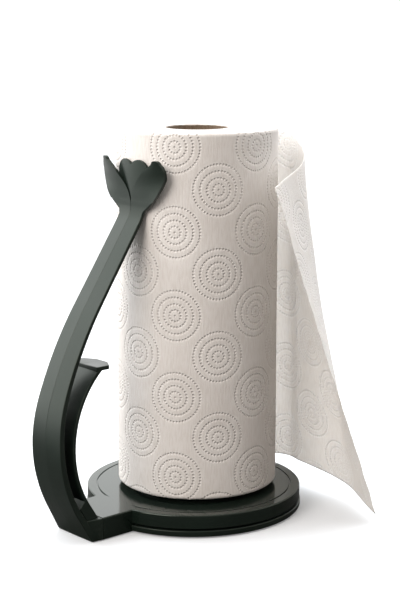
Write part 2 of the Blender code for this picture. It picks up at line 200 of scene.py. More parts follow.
def box(low: Point, high: Point, bevel: float = 0.0, segments: int = 2) -> Form:
    """A box between two corners with all its edges bevelled."""
    form = bmesh.new()
    centre, size = (Vector(low) + Vector(high)) / 2, Vector(high) - Vector(low)
    bmesh.ops.create_cube(form, size=1.0, matrix=Matrix.Translation(centre) @ Matrix.Diagonal((*size, 1.0)))
    if bevel:
        round_edges(form, form.edges[:], bevel, segments)
    return form


def rod(radius: float, low: float, high: float, at: tuple[float, float] = (0.0, 0.0), steps: int = 32) -> Form:
    """A plain upright cylinder, used to bore holes and to add bosses."""
    form = bmesh.new()
    bmesh.ops.create_cone(form, cap_ends=True, segments=steps, radius1=radius, radius2=radius,
                          depth=high - low, matrix=Matrix.Translation((*at, (low + high) / 2)))
    return form


def loft(rings: Sequence[Sequence[Vector]]) -> tuple[Form, list[list[bmesh.types.BMVert]]]:
    """Bridge closed rings that all have the same number of points, and cap both ends.

    Args:
        rings: the sections in order.

    Returns:
        The form, and its points ring by ring.
    """
    form = bmesh.new()
    points = [[form.verts.new(point) for point in ring] for ring in rings]
    loops = [[form.edges.new(pair) for pair in zip(ring, ring[1:] + ring[:1])] for ring in points]
    for before, after in zip(loops, loops[1:]):
        bmesh.ops.bridge_loops(form, edges=before + after)
    bmesh.ops.edgeloop_fill(form, edges=loops[0])
    bmesh.ops.edgeloop_fill(form, edges=loops[-1])
    return form, points


def long_edges(form: Form, points: Sequence[Sequence[bmesh.types.BMVert]],
               corners: Iterable[int]) -> list[bmesh.types.BMEdge]:
    """The edges of a loft that run from ring to ring through the given corners."""
    found = [form.edges.get((a[corner], b[corner])) for a, b in zip(points, points[1:]) for corner in corners]
    return [edge for edge in found if edge is not None]


def round_edges(form: Form, edges: Sequence[bmesh.types.BMEdge], width: float, segments: int = 3) -> None:
    """Round edges of a form."""
    bmesh.ops.bevel(form, geom=list(edges), offset=width, offset_type="OFFSET", segments=segments, profile=0.5,
                    affect="EDGES", clamp_overlap=True, material=-1)


def sharp_edges(form: Form, angle: float = 50.0) -> list[bmesh.types.BMEdge]:
    """Edges where two faces meet at more than an angle in degrees."""
    limit = math.radians(angle)
    return [edge for edge in form.edges if len(edge.link_faces) == 2 and edge.calc_face_angle(0.0) > limit]


def plate(across: int, along: int, place: Callable[[float, float], Vector], depth: Vector) -> Form:
    """A thin plate: a grid shaped by a function, then extruded.

    Args:
        across: cells across the grid.
        along: cells along the grid.
        place: gives a point for shares from 0 to 1 across and along.
        depth: the extrusion.

    Returns:
        The closed form, in millimetres.
    """
    form = bmesh.new()
    bmesh.ops.create_grid(form, x_segments=across, y_segments=along, size=0.5)
    for vert in form.verts:
        vert.co = place(vert.co.x + 0.5, vert.co.y + 0.5)
    grown = bmesh.ops.extrude_face_region(form, geom=form.faces[:], use_keep_orig=True)
    moved = [item for item in grown["geom"] if isinstance(item, bmesh.types.BMVert)]
    bmesh.ops.translate(form, vec=depth, verts=moved)
    bmesh.ops.recalc_face_normals(form, faces=form.faces)
    return form


def cut_below(form: Form, height: float) -> None:
    """Cut everything under a height away and close the cut."""
    whole = form.verts[:] + form.edges[:] + form.faces[:]
    done = bmesh.ops.bisect_plane(
        form, geom=whole, plane_co=(0, 0, height), plane_no=(0, 0, -1), clear_outer=True)
    rim = [item for item in done["geom_cut"] if isinstance(item, bmesh.types.BMEdge)]
    bmesh.ops.edgeloop_fill(form, edges=rim)


def merge_form(into: Form, other: Form) -> None:
    """Put a second closed form into the first one, as a shell of its own."""
    mesh = bpy.data.meshes.new("carrier")
    other.to_mesh(mesh)
    other.free()
    into.from_mesh(mesh)
    bpy.data.meshes.remove(mesh)


def make_piece(name: str, form: Form, sharp: float = 40.0) -> Piece:
    """Turn a form in millimetres into an object at the origin.

    Args:
        name: the piece's name.
        form: the form, which is used up.
        sharp: edges steeper than this many degrees stay sharp.

    Returns:
        The new object.
    """
    bmesh.ops.scale(form, vec=(MM, MM, MM), verts=form.verts)
    bmesh.ops.recalc_face_normals(form, faces=form.faces)
    mesh = bpy.data.meshes.new(name)
    form.to_mesh(mesh)
    form.free()
    piece = bpy.data.objects.new(name, mesh)
    bpy.context.scene.collection.objects.link(piece)
    smooth_faces(piece, sharp)
    return piece


def smooth_faces(piece: Piece, sharp: float) -> None:
    """Shade a piece smooth except across edges steeper than an angle in degrees."""
    piece.data.shade_smooth()
    piece.data.set_sharp_from_angle(angle=math.radians(sharp))


def apply_modifiers(piece: Piece) -> None:
    """Make what the piece's modifiers give its own mesh."""
    graph = bpy.context.evaluated_depsgraph_get()
    changed = bpy.data.meshes.new_from_object(piece.evaluated_get(graph))
    piece.modifiers.clear()
    before, piece.data = piece.data, changed
    bpy.data.meshes.remove(before)
    piece.data.name = piece.name


def weigh_normals(piece: Piece) -> None:
    """Let large faces lead the shading, so that flat faces look flat up to their rounded edges."""
    step = piece.modifiers.new("weigh", "WEIGHTED_NORMAL")
    step.keep_sharp = True
    apply_modifiers(piece)


def fuse(piece: Piece, tools: Iterable[tuple[Join, Form]], sharp: float = 40.0) -> None:
    """Add tools to a piece or cut them out of it, one after another.

    Args:
        piece: the piece that is changed.
        tools: how each tool is used, and the tool, in millimetres.
        sharp: edges steeper than this many degrees stay sharp.
    """
    for how, form in tools:
        tool = make_piece("tool", form)
        step = piece.modifiers.new("fuse", "BOOLEAN")
        step.operation = how.value
        step.solver = "EXACT"
        step.object = tool
        apply_modifiers(piece)
        used = tool.data
        bpy.data.objects.remove(tool)
        bpy.data.meshes.remove(used)
    smooth_faces(piece, sharp)


def install(piece: Piece, material: Material, slot: Slot, body: Body, *nodes: str) -> Piece:
    """Dress a new piece, set it on its body and say which nodes it stands for.

    Args:
        piece: the piece.
        material: its finish.
        slot: the record's finish for it; it only decides whether the piece's normals are weighed.
        body: the body that it rides on.
        nodes: the nodes that it replaces.

    Returns:
        The piece.
    """
    if not piece.data.materials:
        piece.data.materials.append(material)
    if slot is Slot.GREEN:
        weigh_normals(piece)
    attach(piece, body.value)
    if nodes:
        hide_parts(*nodes)
    LOG.info("%s rides on %s and stands for %s", piece.name, body.value, ", ".join(nodes) or "nothing")
    return piece


def dress_node(name: str, material: Material) -> None:
    """Give a node that is kept its finish."""
    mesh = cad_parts[name].data
    mesh.materials.clear()
    mesh.materials.append(material)
    LOG.info("%s keeps its solid and is finished as %s", name, material.name)


# ---------------------------------------------------------------- finishes


Value = Socket | float | int


class Wiring:
    """Adds nodes to a tree and joins them up."""

    def __init__(self, tree: bpy.types.NodeTree) -> None:
        """Work on a node tree."""
        self.tree = tree

    def node(self, kind: str, **settings: object) -> bpy.types.Node:
        """Add a node and set its properties."""
        made = self.tree.nodes.new(kind)
        for name, value in settings.items():
            setattr(made, name, value)
        return made

    def feed(self, socket: Socket, value: Value | Sequence[float]) -> None:
        """Join a socket to another one, or set its constant."""
        if isinstance(value, bpy.types.NodeSocket):
            self.tree.links.new(value, socket)
        else:
            socket.default_value = value

    def math(self, operation: str, *values: Value, clamp: bool = False) -> Socket:
        """One step of arithmetic."""
        made = self.node("ShaderNodeMath", operation=operation, use_clamp=clamp)
        for socket, value in zip(made.inputs, values):
            self.feed(socket, value)
        return made.outputs[0]

    def span(self, value: Value, start: float, end: float, low: Value = 0.0, high: Value = 1.0,
             smooth: bool = True) -> Socket:
        """Map a value from one span to another, with soft ends."""
        ends = "SMOOTHSTEP" if smooth else "LINEAR"
        made = self.node("ShaderNodeMapRange", interpolation_type=ends, clamp=True)
        for socket, part in zip(made.inputs, (value, start, end, low, high)):
            self.feed(socket, part)
        return made.outputs[0]

    def noise(self, vector: Socket, scale: Value, detail: float = 2.0, roughness: float = 0.5) -> Socket:
        """Soft noise between 0 and 1."""
        made = self.node("ShaderNodeTexNoise")
        for name, value in (("Vector", vector), ("Scale", scale), ("Detail", detail), ("Roughness", roughness)):
            self.feed(made.inputs[name], value)
        return made.outputs[0]

    def hypotenuse(self, first: Socket, second: Socket) -> Socket:
        """The distance from zero of a pair of coordinates."""
        squares = (self.math("MULTIPLY", first, first), self.math("MULTIPLY", second, second))
        return self.math("SQRT", self.math("ADD", *squares))

    def stretch(self, vector: Socket, scale: Point, shift: Point = (0.0, 0.0, 0.0)) -> Socket:
        """Shift and stretch coordinates."""
        made = self.node("ShaderNodeMapping")
        self.feed(made.inputs["Vector"], vector)
        made.inputs["Location"].default_value = shift
        made.inputs["Scale"].default_value = scale
        return made.outputs[0]

    def blend(self, share: Value, first: Socket | Colour, second: Socket | Colour) -> Socket:
        """Blend two colours."""
        made = self.node("ShaderNodeMix", data_type="RGBA")
        self.feed(made.inputs[0], share)
        for socket, value in ((made.inputs[6], first), (made.inputs[7], second)):
            self.feed(socket, value if isinstance(value, bpy.types.NodeSocket) else (*value, 1.0))
        return made.outputs[2]

    def parts(self, vector: Socket) -> tuple[Socket, Socket, Socket]:
        """Split coordinates."""
        made = self.node("ShaderNodeSeparateXYZ")
        self.feed(made.inputs[0], vector)
        return made.outputs[0], made.outputs[1], made.outputs[2]

    def place(self) -> Socket:
        """The piece's own coordinates, in metres."""
        return self.node("ShaderNodeTexCoord").outputs["Object"]

    def flat(self) -> Socket:
        """The place on the unrolled paper, in metres."""
        return self.node("ShaderNodeTexCoord").outputs["UV"]

    def use(self, group: bpy.types.NodeTree, **inputs: Value) -> bpy.types.Node:
        """Place a shared effect with its own values."""
        made = self.node("ShaderNodeGroup", node_tree=group)
        for name, value in inputs.items():
            self.feed(made.inputs[name.replace("_", " ")], value)
        return made

    def bump(self, height: Socket, distance: float, strength: float = 1.0) -> Socket:
        """Relief on the surface, with its depth in metres."""
        made = self.node("ShaderNodeBump")
        self.feed(made.inputs["Height"], height)
        made.inputs["Distance"].default_value = distance
        made.inputs["Strength"].default_value = strength
        return made.outputs[0]


def start_group(name: str, inputs: Sequence[tuple[str, str, float]],
                outputs: Sequence[str]) -> tuple[bpy.types.NodeTree, Wiring, bpy.types.Node, bpy.types.Node]:
    """Begin a shared effect.

    Args:
        name: the effect's name.
        inputs: each input's name, kind (Float or Vector) and default.
        outputs: the names of its values.

    Returns:
        The group, its wiring, and its input and output nodes.
    """
    group = bpy.data.node_groups.new(name, "ShaderNodeTree")
    for title, kind, default in inputs:
        socket = group.interface.new_socket(title, in_out="INPUT", socket_type=f"NodeSocket{kind}")
        if kind == "Float":
            socket.default_value = default
    for title in outputs:
        group.interface.new_socket(title, in_out="OUTPUT", socket_type="NodeSocketFloat")
    wiring = Wiring(group)
    return group, wiring, wiring.node("NodeGroupInput"), wiring.node("NodeGroupOutput")


def grain_effect() -> bpy.types.NodeTree:
    """Fine tooled grain: a relief, and a slow patchiness for colour and gloss."""
    group, wiring, given, result = start_group(
        "fine_grain", (("Grain", "Float", 2600.0), ("Patches", "Float", 38.0)), ("Relief", "Patchiness"))
    place = wiring.place()
    fine = wiring.noise(place, given.outputs["Grain"], 3.0, 0.6)
    slow = wiring.noise(place, given.outputs["Patches"], 4.0, 0.6)
    wiring.feed(result.inputs["Relief"], fine)
    wiring.feed(result.inputs["Patchiness"], wiring.span(slow, 0.3, 0.7))
    return group


def wear_effect() -> bpy.types.NodeTree:
    """Rubbed edges: a mask on convex edges, broken up by noise."""
    group, wiring, given, result = start_group(
        "rubbed_edges",
        (("Start", "Float", 0.53), ("Full", "Float", 0.62), ("Break up", "Float", 420.0)), ("Mask",))
    point = wiring.node("ShaderNodeNewGeometry").outputs["Pointiness"]
    edge = wiring.node("ShaderNodeMapRange", interpolation_type="SMOOTHSTEP")
    for socket, value in zip(edge.inputs, (point, given.outputs["Start"], given.outputs["Full"])):
        wiring.feed(socket, value)
    broken = wiring.span(wiring.noise(wiring.place(), given.outputs["Break up"], 3.0, 0.65), 0.35, 0.7)
    wiring.feed(result.inputs["Mask"], wiring.math("MULTIPLY", edge.outputs[0], broken, clamp=True))
    return group


def dust_effect() -> bpy.types.NodeTree:
    """A little dust on faces that look up."""
    group, wiring, given, result = start_group(
        "settled_dust", (("Amount", "Float", 0.2), ("Specks", "Float", 900.0)), ("Mask",))
    up = wiring.parts(wiring.node("ShaderNodeNewGeometry").outputs["Normal"])[2]
    flat = wiring.span(up, 0.55, 0.98)
    specks = wiring.span(wiring.noise(wiring.place(), given.outputs["Specks"], 3.0, 0.7), 0.42, 0.72)
    dusty = wiring.math("MULTIPLY", wiring.math("MULTIPLY", flat, specks), given.outputs["Amount"], clamp=True)
    wiring.feed(result.inputs["Mask"], dusty)
    return group


@dataclass(frozen=True)
class Emboss:
    """The pattern pressed into the paper: dotted rings about centres on two interleaved grids.

    Each ring is its radius, its number of dots and a dot's radius. The line edges are the distances from a
    ring's line at which its soft band begins and is full; the band carries a painted highlight.
    """

    pitch_round: float = math.tau * 10.0
    pitch_up: float = 60.0
    centre_turn: float = 213.6
    centre_height: float = 277.5
    roll_radius: float = 60.0
    rings: tuple[tuple[float, int, float], ...] = (
        (4.2, 12, 1.15), (8.5, 23, 1.2), (13.3, 36, 1.2), (18.2, 50, 1.15))
    centre_dot: float = 1.1
    groove: float = 1.7
    line_edges: tuple[float, float] = (2.2, 0.8)

    def centre(self) -> tuple[float, float]:
        """One motif's centre on the unrolled paper."""
        return math.radians(self.centre_turn) * self.roll_radius, self.centre_height

    def nearest(self, round_way: float, up: float) -> float:
        """Distance from a place on the unrolled paper to the nearest motif's centre."""
        first, height = self.centre()
        best = math.inf
        for shift in (0.0, 0.5):
            dx = (round_way - first) / self.pitch_round + shift
            dz = (up - height) / self.pitch_up + shift
            best = min(best, math.hypot((dx - round(dx)) * self.pitch_round, (dz - round(dz)) * self.pitch_up))
        return best

    def relief(self, round_way: float, up: float) -> float:
        """How far the paper is pressed in at a place, from 0 to 1."""
        reach = self.nearest(round_way, up)
        pressed = max(math.exp(-((reach - radius) / self.groove) ** 2) for radius, _, _ in self.rings)
        return max(pressed, math.exp(-(reach / self.centre_dot) ** 2))

    def effect(self) -> bpy.types.NodeTree:
        """The same pattern as a shared effect: pits for the dots, and soft rings through them."""
        group, wiring, given, result = start_group(
            "dotted_rings", (("Place", "Vector", 0.0),), ("Pits", "Rings"))
        across, up, _ = wiring.parts(given.outputs["Place"])
        first, height = self.centre()
        half_round, half_up = self.pitch_round / 2, self.pitch_up / 2
        local: list[tuple[Socket, Socket, Socket]] = []
        for shift in (0.0, 1.0):
            x = wiring.math("MULTIPLY_ADD", across, 1 / MM, -first - shift * half_round)
            y = wiring.math("MULTIPLY_ADD", up, 1 / MM, -height - shift * half_up)
            x = wiring.math("WRAP", x, half_round, -half_round)
            y = wiring.math("WRAP", y, half_up, -half_up)
            local.append((x, y, wiring.hypotenuse(x, y)))
        (xa, ya, ra), (xb, yb, rb) = local
        second = wiring.math("LESS_THAN", rb, ra)
        x = wiring.math("MULTIPLY_ADD", wiring.math("SUBTRACT", xb, xa), second, xa)
        y = wiring.math("MULTIPLY_ADD", wiring.math("SUBTRACT", yb, ya), second, ya)
        reach = wiring.math("MINIMUM", ra, rb)
        turn = wiring.math("ARCTAN2", y, x)
        pits = wiring.span(reach, self.centre_dot, 0.0)
        lines = pits
        for radius, count, dot in self.rings:
            step = wiring.math("WRAP", wiring.math("MULTIPLY", turn, count / math.tau), 0.5, -0.5)
            sideways = wiring.math("MULTIPLY", step, math.tau * radius / count)
            outwards = wiring.math("SUBTRACT", reach, radius)
            near = wiring.span(wiring.hypotenuse(sideways, outwards), dot, 0.0)
            line = wiring.span(wiring.math("ABSOLUTE", outwards), *self.line_edges)
            pits, lines = wiring.math("MAXIMUM", pits, near), wiring.math("MAXIMUM", lines, line)
        wiring.feed(result.inputs["Pits"], pits)
        wiring.feed(result.inputs["Rings"], lines)
        return group


def start_material(name: str) -> tuple[Material, Wiring, bpy.types.Node]:
    """A new material with its wiring and its Principled shader."""
    material = bpy.data.materials.new(name)
    material.use_nodes = True
    return material, Wiring(material.node_tree), material.node_tree.nodes["Principled BSDF"]


@dataclass(frozen=True)
class Effects:
    """The shared effects, built once."""

    grain: bpy.types.NodeTree
    wear: bpy.types.NodeTree
    dust: bpy.types.NodeTree
    emboss: bpy.types.NodeTree


@dataclass(frozen=True)
class SatinPlastic:
    """Moulded plastic with a fine satin grain."""

    colour: Colour = (0.0062, 0.0112, 0.0084)
    sheen: Colour = (0.88, 1.0, 0.90)
    worn: Colour = (0.040, 0.048, 0.043)
    dust: Colour = (0.30, 0.31, 0.30)
    roughness: tuple[float, float] = (0.28, 0.38)
    grain_depth: float = 0.00002
    wear: float = 0.35
    dusting: float = 0.05
    mirror: float = 0.38

    def build(self, name: str, effects: Effects) -> Material:
        """Make the material."""
        material, wiring, shader = start_material(name)
        grain = wiring.use(effects.grain, Grain=2400.0, Patches=24.0)
        worn = wiring.use(effects.wear, Start=0.52, Full=0.60, Break_up=380.0)
        dust = wiring.use(effects.dust, Amount=self.dusting, Specks=1100.0)
        patch = grain.outputs["Patchiness"]
        lighter = tuple(channel * 1.35 for channel in self.colour)
        colour = wiring.blend(patch, self.colour, lighter)
        rubbed = wiring.math("MULTIPLY", worn.outputs["Mask"], self.wear)
        colour = wiring.blend(rubbed, colour, self.worn)
        colour = wiring.blend(dust.outputs["Mask"], colour, self.dust)
        wiring.feed(shader.inputs["Base Color"], colour)
        gloss = wiring.span(patch, 0.0, 1.0, self.roughness[0], self.roughness[1], smooth=False)
        wiring.feed(shader.inputs["Roughness"], wiring.math("MULTIPLY_ADD", rubbed, 0.12, gloss))
        shader.inputs["Specular IOR Level"].default_value = self.mirror
        shader.inputs["Specular Tint"].default_value = (*self.sheen, 1.0)
        wiring.feed(shader.inputs["Normal"], wiring.bump(grain.outputs["Relief"], self.grain_depth, 0.5))
        return material


@dataclass(frozen=True)
class EmbossedPaper:
    """Absorbent paper with dotted rings pressed in and fine upright crepe ribs; the dots and the furrows between
    the ribs carry painted shade, and bands along the rings a painted highlight.
    """

    colour: Colour = (0.89, 0.872, 0.852)
    # Darker tone: used for random clouds, and as painted shade in the dots and between the crepe ribs.
    shade: Colour = (0.66, 0.61, 0.565)
    # Colour of the painted highlight on the soft bands along the rings.
    puffed_highlight: Colour = (0.97, 0.955, 0.935)
    depth: float = 0.00075
    # Share of painted shade laid over the pressed dots.
    pit_shade: float = 0.34
    see_through: float = 0.0

    def build(self, name: str, effects: Effects) -> Material:
        """Make the material."""
        material, wiring, shader = start_material(name)
        flat = wiring.flat()
        pressed = wiring.use(effects.emboss, Place=flat)
        pits, rings = pressed.outputs["Pits"], pressed.outputs["Rings"]
        crepe = wiring.noise(wiring.stretch(flat, (860.0, 110.0, 1.0)), 1.0, 3.0, 0.5)
        felt = wiring.noise(flat, 3200.0, 2.0, 0.6)
        clouds = wiring.noise(flat, 28.0, 3.0, 0.55)
        colour = wiring.blend(wiring.span(clouds, 0.3, 0.7, 0.0, 0.22), self.colour, self.shade)
        # Painted highlight: the soft bands along the rings, between the dots, are lightened.
        ring_highlight = wiring.math("MULTIPLY", wiring.math("SUBTRACT", rings, pits, clamp=True), 0.6)
        colour = wiring.blend(ring_highlight, colour, self.puffed_highlight)
        # Painted shade: the pressed dots are darkened towards the shade colour.
        colour = wiring.blend(wiring.math("MULTIPLY", pits, self.pit_shade), colour, self.shade)
        # Painted shade: the low furrows between the crepe ribs are darkened towards the shade colour.
        ribs = wiring.span(crepe, 0.38, 0.58, 0.24, 0.0)
        colour = wiring.blend(ribs, colour, self.shade)
        wiring.feed(shader.inputs["Base Color"], colour)
        wiring.feed(shader.inputs["Roughness"], wiring.span(felt, 0.2, 0.8, 0.86, 0.98))
        height = wiring.math("MULTIPLY_ADD", crepe, 0.45, wiring.math("MULTIPLY", felt, 0.12))
        height = wiring.math("SUBTRACT", height, pits)
        wiring.feed(shader.inputs["Normal"], wiring.bump(height, self.depth))
        shader.inputs["Specular IOR Level"].default_value = 0.2
        shader.inputs["Sheen Weight"].default_value = 0.15
        shader.inputs["Sheen Roughness"].default_value = 0.6
        shader.inputs["Subsurface Weight"].default_value = self.see_through
        shader.inputs["Subsurface Radius"].default_value = (1.0, 0.92, 0.84)
        shader.inputs["Subsurface Scale"].default_value = 0.003
        return material


@dataclass(frozen=True)
class WoundEdges:
    """The ends of the roll: the cut edges of many turns of paper."""

    colour: Colour = (0.90, 0.885, 0.865)
    shade: Colour = (0.60, 0.56, 0.52)
    centre: Point = (-0.0035, 0.0, 0.0)
    turns: float = 1500.0

    def build(self, name: str) -> Material:
        """Make the material."""
        material, wiring, shader = start_material(name)
        place = wiring.stretch(wiring.place(), (1.0, 1.0, 1.0), self.centre)
        x, y, _ = wiring.parts(place)
        reach = wiring.hypotenuse(x, y)
        wander = wiring.noise(place, 60.0, 3.0, 0.6)
        waves = []
        for drift, pace in ((9.0, self.turns * math.tau), (6.0, self.turns * 0.9)):
            phase = wiring.math("MULTIPLY_ADD", wander, drift, wiring.math("MULTIPLY", reach, pace))
            waves.append(wiring.math("MULTIPLY_ADD", wiring.math("SINE", phase), 0.5, 0.5))
        lines, bands = waves
        felt = wiring.noise(place, 2600.0, 3.0, 0.7)
        share = wiring.math("MULTIPLY_ADD", lines, 0.16, wiring.math("MULTIPLY", bands, 0.14), clamp=True)
        wiring.feed(shader.inputs["Base Color"], wiring.blend(share, self.colour, self.shade))
        wiring.feed(shader.inputs["Roughness"], wiring.span(felt, 0.2, 0.8, 0.88, 1.0))
        height = wiring.math("MULTIPLY_ADD", lines, -0.6, wiring.math("MULTIPLY", felt, 0.8))
        wiring.feed(shader.inputs["Normal"], wiring.bump(height, 0.00035))
        shader.inputs["Specular IOR Level"].default_value = 0.2
        return material


@dataclass(frozen=True)
class Cardboard:
    """Spirally wound brown board."""

    colour: Colour = (0.12, 0.084, 0.056)
    fibre: Colour = (0.20, 0.15, 0.105)
    seam: Colour = (0.10, 0.06, 0.035)
    centre: Point = (-0.0035, 0.0, 0.0)
    lead: float = 0.075

    def build(self, name: str) -> Material:
        """Make the material."""
        material, wiring, shader = start_material(name)
        place = wiring.stretch(wiring.place(), (1.0, 1.0, 1.0), self.centre)
        x, y, z = wiring.parts(place)
        turn = wiring.math("DIVIDE", wiring.math("ARCTAN2", y, x), math.tau)
        along = wiring.math("FRACT", wiring.math("MULTIPLY_ADD", z, 1 / self.lead, turn))
        seam = wiring.span(wiring.math("ABSOLUTE", wiring.math("SUBTRACT", along, 0.5)), 0.03, 0.008)
        fibres = wiring.noise(wiring.stretch(place, (900.0, 900.0, 260.0)), 1.0, 4.0, 0.7)
        blots = wiring.noise(place, 120.0, 3.0, 0.6)
        colour = wiring.blend(wiring.span(fibres, 0.3, 0.72), self.colour, self.fibre)
        colour = wiring.blend(wiring.span(blots, 0.35, 0.75, 0.0, 0.35), colour, self.fibre)
        colour = wiring.blend(wiring.math("MULTIPLY", seam, 0.7), colour, self.seam)
        wiring.feed(shader.inputs["Base Color"], colour)
        wiring.feed(shader.inputs["Roughness"], wiring.span(fibres, 0.2, 0.8, 0.82, 0.97))
        wiring.feed(shader.inputs["Normal"], wiring.bump(wiring.math("SUBTRACT", fibres, seam), 0.00022))
        return material


@dataclass(frozen=True)
class Rubber:
    """Matt non-slip rubber foam."""

    colour: Colour = (0.018, 0.018, 0.019)
    pale: Colour = (0.065, 0.064, 0.062)

    def build(self, name: str, effects: Effects) -> Material:
        """Make the material."""
        material, wiring, shader = start_material(name)
        grain = wiring.use(effects.grain, Grain=1900.0, Patches=45.0)
        dust = wiring.use(effects.dust, Amount=0.1, Specks=600.0)
        cells = wiring.node("ShaderNodeTexVoronoi", feature="F1")
        wiring.feed(cells.inputs["Vector"], wiring.place())
        cells.inputs["Scale"].default_value = 700.0
        colour = wiring.blend(wiring.math("MULTIPLY", grain.outputs["Patchiness"], 0.4), self.colour, self.pale)
        wiring.feed(shader.inputs["Base Color"], wiring.blend(dust.outputs["Mask"], colour, self.pale))
        wiring.feed(shader.inputs["Roughness"], wiring.span(grain.outputs["Relief"], 0.3, 0.7, 0.78, 0.95))
        height = wiring.math("ADD", cells.outputs[0], grain.outputs["Relief"])
        wiring.feed(shader.inputs["Normal"], wiring.bump(height, 0.00015))
        return material


@dataclass(frozen=True)
class Steel:
    """Steel with a plated or a plain rolled finish."""

    colour: Colour
    stain: Colour
    roughness: tuple[float, float]
    streaks: float

    def build(self, name: str, effects: Effects) -> Material:
        """Make the material."""
        material, wiring, shader = start_material(name)
        grain = wiring.use(effects.grain, Grain=1500.0, Patches=70.0)
        worn = wiring.use(effects.wear, Start=0.53, Full=0.64, Break_up=500.0)
        dust = wiring.use(effects.dust, Amount=0.15, Specks=800.0)
        drawn = wiring.noise(wiring.stretch(wiring.place(), (self.streaks, 90.0, 90.0)), 1.0, 3.0, 0.6)
        stained = wiring.math("MULTIPLY", grain.outputs["Patchiness"], 0.6)
        colour = wiring.blend(stained, self.colour, self.stain)
        bright = tuple(min(1.0, channel * 1.25) for channel in self.colour)
        colour = wiring.blend(worn.outputs["Mask"], colour, bright)
        wiring.feed(shader.inputs["Base Color"], wiring.blend(dust.outputs["Mask"], colour, self.stain))
        shader.inputs["Metallic"].default_value = 1.0
        wiring.feed(shader.inputs["Roughness"], wiring.span(drawn, 0.3, 0.7, *self.roughness))
        height = wiring.math("ADD", drawn, grain.outputs["Relief"])
        wiring.feed(shader.inputs["Normal"], wiring.bump(height, 0.00003, 0.6))
        return material


@dataclass(frozen=True)
class Finishes:
    """Every finish of the holder and its roll."""

    plastic: Material
    polished: Material
    paper: Material
    loose_paper: Material
    wound: Material
    cardboard: Material
    rubber: Material
    ballast: Material
    zinc: Material

    @classmethod
    def build(cls, emboss: Emboss) -> Finishes:
        """Make the shared effects, then each finish."""
        effects = Effects(grain_effect(), wear_effect(), dust_effect(), emboss.effect())
        return cls(
            plastic=SatinPlastic().build("satin_green_plastic", effects),
            polished=SatinPlastic(
                roughness=(0.09, 0.15), grain_depth=0.000005, wear=0.0, dusting=0.02, mirror=0.5,
            ).build("polished_green_plastic", effects),
            paper=EmbossedPaper().build("embossed_paper", effects),
            # Painted shade: the loose sheet is the roll's paper in a darker, warmer colour, for the shade on its
            # flap.
            loose_paper=EmbossedPaper(colour=(0.87, 0.84, 0.80), depth=0.0006, see_through=0.8).build(
                "shaded_loose_embossed_paper", effects),
            wound=WoundEdges().build("wound_paper_edges"),
            cardboard=Cardboard().build("brown_cardboard"),
            rubber=Rubber().build("rubber_foam", effects),
            ballast=Steel((0.30, 0.30, 0.31), (0.16, 0.13, 0.11), (0.38, 0.6), 1400.0).build(
                "ballast_steel", effects),
            zinc=Steel((0.62, 0.63, 0.65), (0.46, 0.46, 0.44), (0.24, 0.42), 700.0).build(
                "zinc_plated_steel", effects),
        )


# ---------------------------------------------------------------- base and spindle


@dataclass(frozen=True)
class SunkHole:
    """A screw hole drilled from below, with a wider recess for the screw's head."""

    radius: float
    start: float
    end: float
    head_radius: float
    head_end: float
    under: float = -2.0

    def cuts(self, places: Iterable[tuple[float, float]]) -> list[tuple[Join, Form]]:
        """The tools that cut the hole at each place."""
        made = []
        for place in places:
            made += [(Join.CUT, rod(self.radius, self.start, self.end, place)),
                     (Join.CUT, rod(self.head_radius, self.under, self.head_end, place))]
        return made


